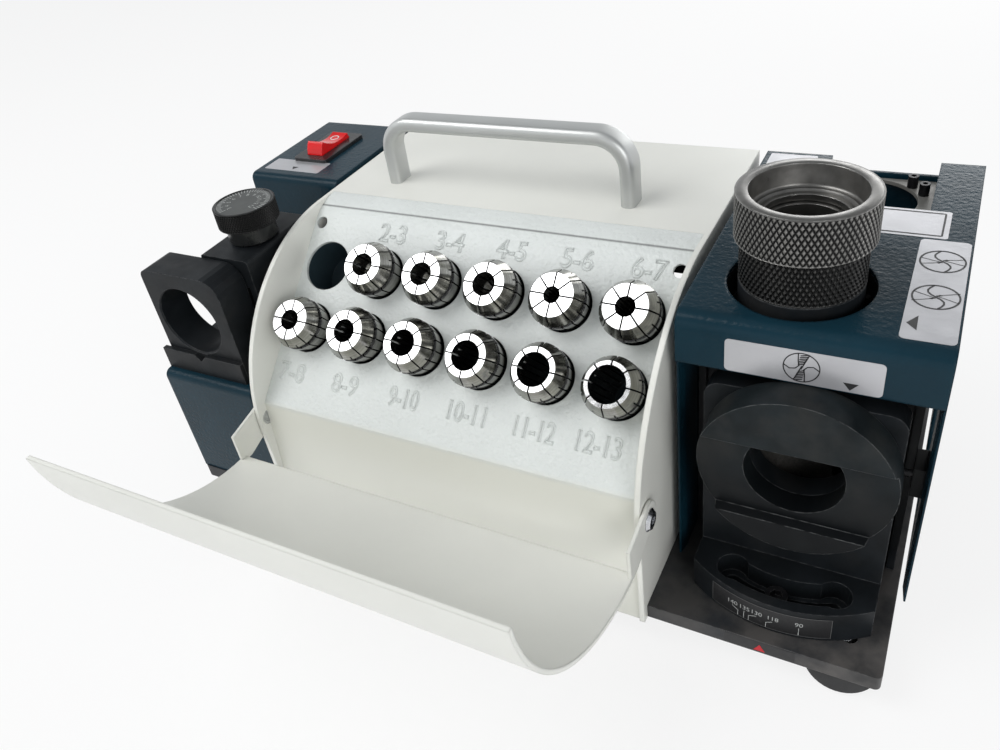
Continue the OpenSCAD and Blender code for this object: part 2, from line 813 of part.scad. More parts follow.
module gland_nut() {
    color("#202224")
    translate([0, rear_y - sheet - 4, 0])
    difference() {
        translate([gland_place[0], 0, gland_place[1]]) rotate([-90, 0, 0]) cylinder(r = 10, h = 4, $fn = 6);
        rod_y(-over, 4 + over, gland_place, gland_neck_r + run_fit);
    }
}

module rocker_well() {
    rod_x(switch_mid[0] - rocker_w / 2 - gap, switch_mid[0] + rocker_w / 2 + gap, [switch_mid[1], body_top],
        rocker_r + gap);
}

module switch_body() {
    body_depth = 20;
    inner_w = switch_w - 3;
    inner_l = switch_l - 3;
    color("#17181a")
    difference() {
        union() {
            upwards(body_top, body_top + switch_flange_h)
                polygon(rounded(box_outline(
                    switch_mid - [switch_w, switch_l] / 2, switch_mid + [switch_w, switch_l] / 2), 1.5));
            translate([switch_mid[0] - inner_w / 2, switch_mid[1] - inner_l / 2, body_top - body_depth])
                cube([inner_w, inner_l, body_depth]);
        }
        rocker_well();
    }
}

module switch_rocker() {
    end_h = 5.6;
    mid_h = 3.4;
    below = 4;
    half_l = sqrt(rocker_r * rocker_r - end_h * end_h);
    sag = end_h - mid_h;
    hollow_r = (half_l * half_l + sag * sag) / (2 * sag);
    color("#d8161b")
    along_x(switch_mid[0] - rocker_w / 2, switch_mid[0] + rocker_w / 2)
        translate([switch_mid[1], body_top]) rotate(-rocker_turn / 2)
        difference() {
            intersection() {
                circle(r = rocker_r);
                translate([-rocker_r, -below]) square([2 * rocker_r, below + end_h]);
            }
            translate([0, mid_h + hollow_r]) circle(r = hollow_r);
        }
}

module switch_terminals() {
    color("#c8a24a")
    for (i = [-1:1])
        translate([switch_mid[0] - 3.2, switch_mid[1] + i * 8 - 0.4, body_top - 28]) cube([6.4, 0.8, 8]);
}

// ---- Setting gauge ----

function gauge_screw_places() = [
    for (x = [block_x + 5, block_x + block_w - 8], y = [rear_block_y + rear_block_d + 5]) [x, y]
];

module gauge_bracket() {
    lip_t = 2;
    lip = [left_x, block_x + block_w];
    notch = 3;
    color("#2b2d2f")
    difference() {
        union() {
            upwards(left_step_z, left_step_z + bracket_t)
                polygon(rounded(box_outline([lip[0], block_y - lip_t], [lip[1], left_step_y - 1]), [0, 0, 3, 3]));
            translate([lip[0], block_y - lip_t, left_step_z]) cube([lip[1] - lip[0], lip_t, bracket_lip_h]);
        }
        along_y(block_y - lip_t - over, block_y + over)
            polygon([
                [gauge_hole[0] - notch - 1, left_step_z + bracket_lip_h + over],
                [gauge_hole[0] - notch, left_step_z + bracket_lip_h],
                [gauge_hole[0], left_step_z + bracket_lip_h - notch],
                [gauge_hole[0] + notch, left_step_z + bracket_lip_h],
                [gauge_hole[0] + notch + 1, left_step_z + bracket_lip_h + over]
            ]);
        for (p = gauge_screw_places())
            rod_z(left_step_z - over, left_step_z + bracket_t + over, p, small_screw_r + run_fit);
    }
}

module gauge_screws() {
    color("#17181a")
    for (p = gauge_screw_places())
        translate([p[0], p[1], left_step_z + bracket_t])
            socket_screw(small_screw_r, small_head_r, 3, bracket_t + sheet + 4);
}

module gauge_front_block() {
    color("#2f3133")
    difference() {
        along_y(block_y, block_y + block_d)
            polygon(rounded(
                box_outline([block_x, left_step_z + bracket_t], [block_x + block_w, block_top]), [0, 0, 8, 3.5]));
        rod_y(block_y - over, block_y + block_d + over, gauge_hole, hole_r);
        translate([gauge_hole[0], block_y - 0.01, gauge_hole[1]]) rotate([-90, 0, 0])
            cylinder(r1 = hole_r + 0.6, r2 = hole_r - 0.01, h = 0.6);
    }
}

module gauge_rear_block() {
    slot_z = gauge_hole[1] - jaw_slot_h / 2;
    color("#2b2d2f")
    difference() {
        along_y(rear_block_y, rear_block_y + rear_block_d)
            polygon(rounded(
                box_outline([rear_block_x, left_step_z + bracket_t], [rear_block_x + rear_block_w, rear_block_top]),
                [0, 0, 2, 1]));
        translate([rear_block_x - over, rear_block_y - over, slot_z])
            cube([jaw_slot_x1 - rear_block_x + over, rear_block_d + 2 * over, jaw_slot_h]);
        rod_z(slot_z, rear_block_top + over, dial_place, dial_shaft_r + run_fit);
    }
}

// The jaw's left face meets the drill. Its pocket rides on the dial's cam.
module gauge_jaw() {
    jaw_z = gauge_hole[1] - jaw_h / 2;
    pocket_wall = dial_place[0] - cam_far - 0.35;
    color("#55585a")
    difference() {
        translate([rear_block_x, rear_block_y + 0.5, jaw_z]) cube([jaw_l, rear_block_d - 1, jaw_h]);
        translate([pocket_wall, dial_place[1] - cam_far - 1, jaw_z + jaw_h - cam_h - 1.5])
            cube([jaw_l, 2 * cam_far + 2, cam_h + 1.5 + over]);
    }
}

module dial_knob() {
    neck_z = rear_block_top + 0.3;
    rim_z = neck_z + dial_neck_h;
    color("#232527")
    translate([dial_place[0], dial_place[1], 0])
    difference() {
        rotate_extrude()
            polygon([
                [0, neck_z], [dial_neck_r - 0.5, neck_z], [dial_neck_r, neck_z + 0.5], [dial_neck_r, rim_z - 0.6],
                [dial_r - 0.8, rim_z - 0.2], [dial_r, rim_z + 0.6], [dial_r, rim_z + dial_h - 0.8],
                [dial_r - 0.8, rim_z + dial_h], [0, rim_z + dial_h]
            ]);
        translate([0, 0, neck_z - over]) cylinder(r = dial_shaft_r, h = dial_neck_h + over);
    }
}

// Shaft with its spiral cam: the cam's radius towards the drill falls evenly as the dial turns
module dial_shaft() {
    slot_top = gauge_hole[1] + jaw_slot_h / 2;
    shaft_top = rear_block_top + 0.3 + dial_neck_h;
    color("#8f9294")
    translate([dial_place[0], dial_place[1], 0])
    union() {
        translate([0, 0, slot_top - cam_h - 0.5]) cylinder(r = dial_shaft_r, h = shaft_top - slot_top + cam_h + 0.5);
        upwards(slot_top - cam_h - 0.5, slot_top - 0.5)
            polygon([
                for (k = [0:36])
                    polar([0, 0], cam_far - (cam_far - cam_near) * k / 36, 180 - dial_turn * k / 36)
            ]);
    }
}

// ---- Right housing ----

module right_profile() {
    r = bend_r + 2;
    corner = [-fascia_front, body_top];
    polygon(concat(
        [[-fascia_front, fascia_z]],
        arc(corner + [r, -r], r, 180, 90, 8),
        [[rear_y, body_top], [rear_y, floor_z], [rear_y - sheet, floor_z], [rear_y - sheet, body_top - sheet]],
        arc(corner + [r, -r], r - sheet, 90, 180, 8),
        [[sheet - fascia_front, fascia_z]]
    ));
}

module right_housing() {
    color("#1d3c4e")
    difference() {
        union() {
            along_x(right_x, right_x1) right_profile();
            upwards(floor_z, body_top - bend_r)
                polygon([
                    [right_x, sheet - fascia_front], [right_x + edge_left, sheet - fascia_front],
                    [right_x + sheet, sheet - fascia_front + edge_slope],
                    [right_x + sheet, rear_y - sheet / 2], [right_x, rear_y - sheet / 2]
                ]);
            translate([right_x, bend_r, floor_z])
                cube([sheet, rear_y - bend_r - sheet / 2, body_top - floor_z - sheet / 2]);
            difference() {
                upwards(guard_z + 0.2, body_top - sheet / 2)
                    polygon(box_outline(
                        [recess_x - sheet, recess_y - sheet], [recess_x1 + sheet, rear_y - sheet / 2]));
                upwards(guard_z, body_top) polygon(box_outline([recess_x, recess_y], [recess_x1, rear_y]));
            }
        }
        rod_z(body_top - 3 * sheet, body_top + over, top_hole, top_hole_r);
        upwards(guard_z + 1.4, body_top + over)
            polygon(box_outline([recess_x, recess_y], [recess_x1, rear_y + over]));
        translate([frame_x1, rear_y - 2 * sheet, floor_z - over])
            cube([right_w, 3 * sheet, body_top - sheet - floor_z + over]);
        rod_x(right_x - over, right_x + sheet + over, [motor_y, motor_z], shaft_r + 3);
    }
}

module right_side_panel() {
    color("#1d3c4e")
    difference() {
        along_x(panel_x, right_x1)
            difference() {
                polygon([
                    [-fascia_front, panel_low], [-fascia_front, fascia_z - 0.3],
                    [sheet - fascia_front + 0.1, fascia_z - 0.3],
                    [sheet - fascia_front + 0.1, body_top - 2 * bend_r], [bend_r, body_top - sheet],
                    [rear_y, body_top - sheet], [rear_y, panel_low]
                ]);
                polygon(rounded(box_outline(panel_window[0], panel_window[1]), 6));
            }
        upwards(panel_low - over, body_top)
            polygon([
                [panel_x - over, -fascia_front - over], [right_x1 - edge_left, -fascia_front - over],
                [right_x1 - edge_left, -fascia_front], [panel_x, edge_slope + sheet - fascia_front],
                [panel_x - over, edge_slope + sheet - fascia_front]
            ]);
        for (p = panel_screw_places()) rod_x(panel_x - over, right_x1 + over, p, small_screw_r + run_fit);
    }
}

function panel_screw_places() = [
    for (y = [panel_screw_front, rear_y - panel_screw_back], z = [panel_screw_low, panel_screw_high]) [y, floor_z + z]
];

module panel_brackets() {
    color("#17181a")
    difference() {
        for (p = panel_screw_places())
            translate([frame_x1, p[0] - 5, p[1] - 6]) cube([panel_x - frame_x1, 10, 12]);
        for (p = panel_screw_places()) rod_x(frame_x1 - over, panel_x + over, p, small_screw_r + run_fit);
    }
}

module panel_screws() {
    color("#17181a")
    for (p = panel_screw_places())
        difference() {
            rod_x(frame_x1 - frame_t, right_x1, p, small_screw_r);
            translate([right_x1 - 1, p[0], p[1]]) rotate([0, 90, 0]) cylinder(r = 1.2, h = 2, $fn = 6);
        }
}

module inner_frames() {
    frame_x = right_x + sheet + 0.2;
    color("#17181a")
    difference() {
        union() {
            for (x = [frame_x, frame_x1 - frame_t])
                along_x(x, x + frame_t)
                    polygon(rounded(box_outline([frame_front, floor_z], [rear_y - 3, frame_top]), [0, 0, 0, 12]));
        }
        rod_x(frame_x - over, frame_x + frame_t + over, [motor_y, motor_z], shaft_r + 3);
        for (p = panel_screw_places())
            rod_x(frame_x1 - frame_t - over, frame_x1 + over, p, small_screw_r + run_fit);
    }
}

// Cross wall between the inner frames, cut out round the wheel
module wheel_shroud() {
    frame_x = right_x + sheet + 0.2 + frame_t;
    color("#17181a")
    along_y(shroud_y, shroud_y + sheet)
        difference() {
            translate([frame_x, floor_z])
                square([frame_x1 - frame_t - frame_x, motor_z + wheel_r + shroud_band - floor_z]);
            polygon(rounded(
                box_outline([wheel_x - 6, floor_z - over], [wheel_x + wheel_t + 8, motor_z + wheel_r - 2]),
                [0, 0, 8, 8]));
        }
}

module wheel_guard() {
    frame_x = right_x + sheet + 0.2;
    guard_hole = [recess_x + recess_w / 2 - 3, recess_y + recess_l / 2 - 2];
    color("#7c8083")
    difference() {
        upwards(frame_top, frame_top + guard_t) polygon(box_outline([frame_x, recess_y - 5], [frame_x1, rear_y - 3]));
        rod_z(frame_top - over, frame_top + guard_t + over, guard_hole, guard_hole_r);
        for (p = post_places()) rod_z(frame_top - over, frame_top + guard_t + over, p, post_stem_r + run_fit);
    }
}

function post_places() = [[recess_x1 - 8, rear_y - 8.5], [recess_x1 - 3.7, rear_y - 14]];

module guard_posts() {
    color("#1c1d1f")
    for (p = post_places())
        difference() {
            union() {
                rod_z(guard_z, guard_z + 4.5, p, post_r);
                rod_z(frame_top, guard_z, p, post_stem_r);
            }
            rod_z(guard_z + 1.5, guard_z + 5, p, 0.9);
        }
}

// ---- Point-angle station ----

function on_slot(a) = station + slot_r * [sin(a), -cos(a)];
function lock_place() = on_slot(lock_angle);

// A curved slot round the pivot, with rounded ends
module slot_ring(z, z1, half_w, half_angle, end_r) {
    intersection() {
        difference() {
            rod_z(z, z1, station, slot_r + half_w);
            rod_z(z - over, z1 + over, station, slot_r - half_w);
        }
        upwards(z, z1)
            polygon(concat([station], [for (k = [-4:4]) 2 * on_slot(half_angle * k / 4) - station]));
    }
    for (side = [-1, 1]) rod_z(z, z1, on_slot(side * half_angle), end_r);
}

module swivel_carriage() {
    plate_rear = carriage_t - carriage_front;
    color("#25272a")
    difference() {
        union() {
            intersection() {
                rod_z(carriage_z, floor_z + carriage_foot_h, station, carriage_r);
                upwards(carriage_z, floor_z + carriage_foot_h)
                    polygon(box_outline([carriage_x, -carriage_r], [carriage_x1, plate_rear]));
            }
            along_y(-carriage_front, plate_rear)
                polygon(rounded(
                    box_outline([carriage_x, carriage_z], [carriage_x1, carriage_top]), [0, 0, 5.5, 5.5], 8));
            rod_z(carriage_z, carriage_z + arm_t, station, 7);
            translate([station[0] - 7, plate_rear - over, carriage_z])
                cube([14, station[1] - plate_rear + over, arm_t]);
        }
        rod_z(carriage_z - over, carriage_z + arm_t + over, station, pin_r + run_fit);
        rod_y(-carriage_front - over, plate_rear + over, disc_mid, hole_r);
        slot_ring(carriage_z - over, floor_z + carriage_foot_h + over, screw_r + gap, slot_angle, screw_r + gap);
        slot_ring(floor_z + slot_floor, floor_z + carriage_foot_h + over, slot_half_w, slot_angle, slot_end_r);
        for (p = disc_screw_places()) rod_y(-carriage_front - over, plate_rear + over, p, small_screw_r + run_fit);
    }
}

function disc_screw_places() = [for (a = [45, 135, 225, 315]) polar(disc_mid, 22.5, a)];

module cam_disc() {
    front = -carriage_front - disc_t;
    channel_y = front + channel_depth;
    color("#3a3a38")
    difference() {
        rod_y(front, -carriage_front, disc_mid, disc_r);
        along_x(disc_mid[0] - disc_r - over, disc_mid[0] + disc_r + over)
            polygon([
                [front - over, disc_mid[1] - channel_down - 1], [front, disc_mid[1] - channel_down - 1],
                [channel_y, disc_mid[1] - channel_down], [channel_y, disc_mid[1] + channel_up],
                [front, disc_mid[1] + channel_up + channel_bevel],
                [front - over, disc_mid[1] + channel_up + channel_bevel]
            ]);
        intersection() {
            rod_y(front - over, -carriage_front + over, disc_mid, hole_r);
            translate([disc_mid[0] - disc_r, front - over, disc_mid[1] - disc_r])
                cube([2 * disc_r, disc_t + 2 * over, disc_r + channel_up]);
        }
        for (p = disc_screw_places()) rod_y(front + disc_t / 2, -carriage_front + over, p, small_screw_r + run_fit);
    }
}

// Screws that enter the cam disc from behind the upright plate
module cam_disc_screws() {
    plate_rear = carriage_t - carriage_front;
    color("#17181a")
    for (p = disc_screw_places())
        translate([p[0], plate_rear, p[1]]) rotate([-90, 0, 0])
            socket_screw(small_screw_r, small_head_r, 2.5, carriage_t + disc_t / 2 - 0.6);
}

module swivel_lock_screw() {
    color("#17181a")
    translate([lock_place()[0], lock_place()[1], floor_z + slot_floor + 0.1])
        socket_screw(screw_r, 3.7, 4, slot_floor + plate_t);
}

module swivel_pivot_pin() {
    color("#8f9294")
    union() {
        rod_z(plate_z, carriage_z + arm_t + 0.1, station, pin_r);
        rod_z(carriage_z + arm_t + 0.1, carriage_z + arm_t + 1.7, station, 5.5);
    }
}

// ---- Top socket and chuck ----

module top_socket() {
    cup_out = top_hole_r + socket_wall;
    color("#25272a")
    difference() {
        union() {
            rod_z(socket_z - socket_floor_t, body_top - sheet - socket_chamfer, top_hole, cup_out);
            translate([top_hole[0], top_hole[1], body_top - sheet - socket_chamfer])
                cylinder(r1 = cup_out, r2 = cup_out - socket_chamfer, h = socket_chamfer);
        }
        rod_z(socket_z, body_top, top_hole, top_hole_r);
        rod_z(socket_z - socket_floor_t - over, socket_z + over, top_hole, hole_r);
        for (p = socket_pin_places()) rod_z(socket_z - 4, socket_z + over, p, 1.2 + run_fit);
    }
}

function socket_pin_places() = [for (a = [205, 25]) polar(top_hole, (chuck_r + top_hole_r) / 2, a)];

module socket_pins() {
    color("#8f9294")
    for (p = socket_pin_places()) rod_z(socket_z - 4, socket_z + 4, p, 1.2);
}

module chuck_body() {
    seat_z = cap_z - 2;
    color("#5b5a58")
    translate([top_hole[0], top_hole[1], 0])
    rotate_extrude()
        polygon([
            [7.5, socket_z - chuck_nose_l], [hole_r - 1.05, socket_z - chuck_nose_l],
            [hole_r - 0.05, socket_z - chuck_nose_l + 1], [hole_r - 0.05, socket_z], [chuck_r - 0.6, socket_z],
            [chuck_r, socket_z + 0.6], [chuck_r, cap_z - 0.1], [13.5, cap_z - 0.1], [13.5, cap_z + 4],
            [11, cap_z + 4], [11, seat_z - 3], [7.5, seat_z - 27]
        ]);
}

module chuck_cap() {
    color("#6b6a67")
    translate([top_hole[0], top_hole[1], 0])
    rotate_extrude()
        polygon([
            [13.5 + run_fit, cap_z], [cap_r - 0.7, cap_z], [cap_r, cap_z + 0.7], [cap_r, cap_top - 0.8],
            [cap_r - 0.8, cap_top], [cap_mouth_r + 0.6, cap_top], [cap_mouth_r, cap_top - 0.6],
            [cap_mouth_r, cap_top - 7.4], [12.4, cap_top - 8.2], [12.4, cap_z + 4.4], [13.5 + run_fit, cap_z + 4.4]
        ]);
}

// ---- Motor and wheel ----

module motor_body() {
    color("#6f7376")
    difference() {
        rod_x(motor_x + cap_plate_t, motor_x1 - cap_plate_t, [motor_y, motor_z], motor_r);
        rod_x(motor_x, motor_x1, [motor_y, motor_z], rotor_r + 0.6);
    }
}

module motor_end_caps() {
    color("#8a8d8f")
    for (x = [motor_x, motor_x1 - cap_plate_t])
        difference() {
            rod_x(x, x + cap_plate_t, [motor_y, motor_z], motor_r);
            rod_x(x + 1, x + cap_plate_t - 1, [motor_y, motor_z], bearing_r + 0.02);
            rod_x(x - over, x + cap_plate_t + over, [motor_y, motor_z], shaft_r + 2);
            rod_x(x + (x > motor_x ? -over : 5), x + (x > motor_x ? 5 : cap_plate_t + over), [motor_y, motor_z],
                bearing_r + 0.02);
        }
}

module bearings() {
    color("#c9ccce")
    for (x = [motor_x + 1, motor_x1 - 1 - bearing_w])
        translate([x, motor_y, motor_z]) rotate([0, 90, 0])
        rotate_extrude()
            polygon([
                [shaft_r + 0.03, 0], [shaft_r + 2.5, 0], [shaft_r + 2.5, 0.8], [bearing_r - 2.5, 0.8],
                [bearing_r - 2.5, 0], [bearing_r, 0], [bearing_r, bearing_w], [bearing_r - 2.5, bearing_w],
                [bearing_r - 2.5, bearing_w - 0.8], [shaft_r + 2.5, bearing_w - 0.8], [shaft_r + 2.5, bearing_w],
                [shaft_r + 0.03, bearing_w]
            ]);
}

// Shaft with the motor's rotor
module motor_shaft() {
    shaft_x1 = wheel_x + wheel_t + 11;
    color("#b9bcbe")
    union() {
        rod_x(motor_x - 6, shaft_x1, [motor_y, motor_z], shaft_r);
        rod_x(motor_x + cap_plate_t + 4, motor_x1 - cap_plate_t - 4, [motor_y, motor_z], rotor_r);
    }
}

function cradle_screw_places() = [
    for (x = [motor_x + cradle_screw_end, motor_x1 - cradle_screw_end], side = [-1, 1])
        [x, motor_y + side * cradle_screw_y]
];

module motor_cradle() {
    half_w = cradle_w / 2;
    color("#3c3f41")
    difference() {
        union() {
            translate([motor_x + cradle_end, motor_y - half_w, floor_z])
                cube([motor_l - 2 * cradle_end, cradle_w, cradle_t]);
            for (x = [motor_x + cradle_end, motor_x1 - cradle_end - saddle_t])
                along_x(x, x + saddle_t)
                    polygon([
                        [motor_y - half_w, floor_z], [motor_y + half_w, floor_z],
                        [motor_y + half_w - 3, motor_z - saddle_drop], [motor_y - half_w + 3, motor_z - saddle_drop]
                    ]);
        }
        rod_x(motor_x, motor_x1, [motor_y, motor_z], motor_r + run_fit);
        for (p = cradle_screw_places()) rod_z(floor_z - over, floor_z + cradle_t + over, p, screw_r + run_fit);
    }
}

module motor_screws() {
    color("#8f9294")
    for (p = cradle_screw_places())
        translate([p[0], p[1], floor_z + cradle_t])
            socket_screw(screw_r, screw_head_r, screw_head_h, cradle_t + plate_t);
}

module grinding_wheel() {
    small_r = wheel_r - wheel_slope * (wheel_t - wheel_rim_t);
    color("#9a9488")
    translate([wheel_x, motor_y, motor_z]) rotate([0, 90, 0])
    rotate_extrude()
        polygon([
            [shaft_r + 0.03, 0], [wheel_r, 0], [wheel_r, wheel_rim_t], [small_r, wheel_t], [shaft_r + 0.03, wheel_t]
        ]);
}

// Hub flange behind the wheel, and the washer and nut in front of it
module wheel_clamp() {
    front = wheel_x + wheel_t;
    color("#8f9294")
    difference() {
        union() {
            rod_x(wheel_x - hub_t, wheel_x, [motor_y, motor_z], 15);
            rod_x(front, front + 2.5, [motor_y, motor_z], 13);
            translate([front + 2.5, motor_y, motor_z]) rotate([0, 90, 0]) cylinder(r = 10.5, h = 7, $fn = 6);
        }
        rod_x(wheel_x - hub_t - over, front + 12, [motor_y, motor_z], shaft_r + 0.03);
    }
}

base_plate();
feet();
foot_screws();
centre_cover();
collet_tray();
collet_rack();
lid();
lid_pivot_screws();
lid_pivot_nuts();
handle();
handle_screws();
left_housing();
cord_gland();
gland_nut();
switch_body();
switch_rocker();
switch_terminals();
gauge_bracket();
gauge_front_block();
gauge_rear_block();
gauge_screws();
gauge_jaw();
dial_knob();
dial_shaft();
right_housing();
right_side_panel();
panel_brackets();
panel_screws();
inner_frames();
wheel_shroud();
wheel_guard();
guard_posts();
swivel_carriage();
cam_disc();
cam_disc_screws();
swivel_lock_screw();
swivel_pivot_pin();
top_socket();
socket_pins();
chuck_body();
chuck_cap();
motor_body();
motor_end_caps();
bearings();
motor_shaft();
motor_cradle();
motor_screws();
grinding_wheel();
wheel_clamp();
for (low = [2:12]) collet(low);
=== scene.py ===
"""Looks of the drill bit sharpener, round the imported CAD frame. Lengths here are in millimetres."""

import json
import math

import bpy
from mathutils import Matrix, Vector

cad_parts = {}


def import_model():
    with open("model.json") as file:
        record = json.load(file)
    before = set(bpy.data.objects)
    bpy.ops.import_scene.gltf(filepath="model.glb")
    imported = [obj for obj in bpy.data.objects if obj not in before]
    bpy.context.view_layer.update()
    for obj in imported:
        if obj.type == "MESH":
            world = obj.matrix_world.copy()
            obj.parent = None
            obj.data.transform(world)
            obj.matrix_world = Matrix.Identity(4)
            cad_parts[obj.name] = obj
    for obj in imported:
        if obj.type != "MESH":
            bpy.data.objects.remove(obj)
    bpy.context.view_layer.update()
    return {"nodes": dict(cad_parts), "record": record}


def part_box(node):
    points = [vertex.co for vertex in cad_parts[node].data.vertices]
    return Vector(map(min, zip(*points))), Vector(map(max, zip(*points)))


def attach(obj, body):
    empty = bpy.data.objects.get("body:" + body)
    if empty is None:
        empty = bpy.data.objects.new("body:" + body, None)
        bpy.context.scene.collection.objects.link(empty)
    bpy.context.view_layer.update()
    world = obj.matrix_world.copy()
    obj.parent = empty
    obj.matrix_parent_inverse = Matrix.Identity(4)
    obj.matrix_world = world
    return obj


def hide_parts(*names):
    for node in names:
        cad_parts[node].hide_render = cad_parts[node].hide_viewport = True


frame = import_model()
MM = 0.001


# ---- Places, in millimetres, measured on the CAD frame ----

def low(node):
    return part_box(node)[0] / MM


def high(node):
    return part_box(node)[1] / MM


def centre_of(node):
    return (low(node) + high(node)) / 2


X, Y, Z = (1, 0, 0), (0, 1, 0), (0, 0, 1)
BODY_TOP = high("left_housing").z

TRAY_ANGLE = math.radians(42.8)
TRAY_LEFT = low("collet_tray").x
TRAY_RIGHT = high("collet_tray").x
APRON_LEAN = 4.1
CREASE_HEIGHT = 64.9
# The crease is the fold between the tray's apron and its slope.
CREASE = Vector((0, low("collet_tray").y + APRON_LEAN, CREASE_HEIGHT))
SLOPE = Vector((0, math.cos(TRAY_ANGLE), math.sin(TRAY_ANGLE)))
SQUARE = Vector((0, -math.sin(TRAY_ANGLE), math.cos(TRAY_ANGLE)))
APRON = CREASE - low("collet_tray")
APRON_SQUARE = Vector((0, -APRON.z, APRON.y)).normalized()

FASCIA_Y = low("right_housing").y
STATION = Vector((low("right_housing").x + 39.1, 22.5, 0))
CARRIAGE_R = 49.1
CHUCK = centre_of("chuck_cap")
DIAL = centre_of("dial_knob")

# Heights above the face that carries them: a label's film, and ink printed on it.
FILM = 0.1
INK_BOTTOM = 0.1
INK_TOP = 0.16

# The colour sockets of a Mix node.
MIX_A, MIX_B, MIX_RESULT = 6, 7, 2


# ---- Nodes of materials ----

class Shader:
    """A material under construction: short calls that add and join its nodes."""

    def __init__(self, name, colour, roughness, metallic=0.0):
        self.material = bpy.data.materials.new(name)
        self.material.use_nodes = True
        self.tree = self.material.node_tree
        self.bsdf = self.tree.nodes["Principled BSDF"]
        self.bsdf.inputs["Base Color"].default_value = (*colour, 1)
        self.bsdf.inputs["Roughness"].default_value = roughness
        self.bsdf.inputs["Metallic"].default_value = metallic
        self.colour = colour
        self.roughness = roughness
        place = self.add("ShaderNodeTexCoord")
        self.coordinates = place.outputs["Object"]
        self.surface = place.outputs["Normal"]
        self.normal = None

    def add(self, kind, **settings):
        node = self.tree.nodes.new(kind)
        for key, value in settings.items():
            setattr(node, key, value)
        return node

    def join(self, source, target):
        self.tree.links.new(source, target)

    def stretched(self, scale):
        """Coordinates scaled along X, Y and Z."""
        mapping = self.add("ShaderNodeMapping")
        mapping.inputs["Scale"].default_value = scale
        self.join(self.coordinates, mapping.inputs["Vector"])
        return mapping.outputs["Vector"]

    def along(self, direction):
        """Coordinates that change only along one direction, so that noise on them forms bands."""
        node = self.add("ShaderNodeVectorMath", operation="PROJECT")
        self.join(self.coordinates, node.inputs[0])
        node.inputs[1].default_value = direction
        return node.outputs["Vector"]

    def noise(self, size, detail=3.0, rough=0.55, coordinates=None):
        """Noise whose features are about size millimetres across."""
        node = self.add("ShaderNodeTexNoise")
        node.inputs["Scale"].default_value = 1 / (size * MM)
        node.inputs["Detail"].default_value = detail
        node.inputs["Roughness"].default_value = rough
        self.join(coordinates or self.coordinates, node.inputs["Vector"])
        return node.outputs["Fac"]

    def ramp(self, value, start, end, low_value=0.0, high_value=1.0):
        """value carried from start..end to low_value..high_value, and held outside."""
        node = self.add("ShaderNodeMapRange")
        node.inputs["From Min"].default_value = start
        node.inputs["From Max"].default_value = end
        node.inputs["To Min"].default_value = low_value
        node.inputs["To Max"].default_value = high_value
        self.join(value, node.inputs["Value"])
        return node.outputs["Result"]

    def maths(self, operation, a, b=None):
        node = self.add("ShaderNodeMath", operation=operation)
        for socket, value in zip(node.inputs, (a, b)):
            if value is None:
                continue
            if isinstance(value, (int, float)):
                socket.default_value = value
            else:
                self.join(value, socket)
        return node.outputs["Value"]

    def mix(self, factor, a, b):
        """Colour a where factor is 0 and b where it is 1. Each is a colour or a socket."""
        node = self.add("ShaderNodeMix", data_type="RGBA")
        self.join(factor, node.inputs["Factor"])
        for socket, value in ((node.inputs[MIX_A], a), (node.inputs[MIX_B], b)):
            if isinstance(value, tuple):
                socket.default_value = (*value, 1)
            else:
                self.join(value, socket)
        return node.outputs[MIX_RESULT]

    def vary(self, amount, size, rough_amount=0.06):
        """Uneven tone and uneven gloss in patches of about size millimetres."""
        patches = self.ramp(self.noise(size, 5.0), 0.3, 0.7)
        darker = tuple(c * (1 - amount) for c in self.colour)
        lighter = tuple(min(1.0, c * (1 + amount)) for c in self.colour)
        self.paint(self.mix(patches, darker, lighter))
        smoother, rougher = self.roughness - rough_amount, self.roughness + rough_amount
        gloss = self.ramp(self.noise(size * 0.6, 4.0), 0.3, 0.7, smoother, rougher)
        self.join(gloss, self.bsdf.inputs["Roughness"])
        return self

    def paint(self, socket):
        self.join(socket, self.bsdf.inputs["Base Color"])
        self.base = socket

    def soft_edges(self, radius):
        node = self.add("ShaderNodeBevel", samples=4)
        node.inputs["Radius"].default_value = radius * MM
        self.normal = node.outputs["Normal"]
        self.join(self.normal, self.bsdf.inputs["Normal"])
        return self

    def bump(self, height, depth, strength=1.0):
        """Relief of depth millimetres from a 0..1 height, on top of what is already there."""
        node = self.add("ShaderNodeBump")
        node.inputs["Distance"].default_value = depth * MM
        node.inputs["Strength"].default_value = strength
        self.join(height, node.inputs["Height"])
        if self.normal:
            self.join(self.normal, node.inputs["Normal"])
        self.normal = node.outputs["Normal"]
        self.join(self.normal, self.bsdf.inputs["Normal"])
        return self

    def worn_edges(self, radius, colour, amount=0.6):
        """Soft edges within radius millimetres, rubbed to a lighter colour in broken stretches."""
        self.soft_edges(radius)
        geometry = self.add("ShaderNodeNewGeometry")
        dot = self.add("ShaderNodeVectorMath", operation="DOT_PRODUCT")
        self.join(self.normal, dot.inputs[0])
        self.join(geometry.outputs["Normal"], dot.inputs[1])
        # At an edge the rounded normal turns away from the true one: this is their cosine.
        edges = self.ramp(dot.outputs["Value"], 0.985, 0.90)
        broken = self.ramp(self.noise(2.5, 4.0), 0.35, 0.65)
        mask = self.maths("MULTIPLY", edges, broken)
        self.paint(self.mix(self.maths("MULTIPLY", mask, amount), self.base, colour))
        return self

    def beyond(self, direction, start, end):
        """0 to 1 as the place along a direction runs from start to end, in millimetres."""
        along = self.add("ShaderNodeVectorMath", operation="DOT_PRODUCT")
        self.join(self.coordinates, along.inputs[0])
        along.inputs[1].default_value = direction
        return self.ramp(along.outputs["Value"], start * MM, end * MM)

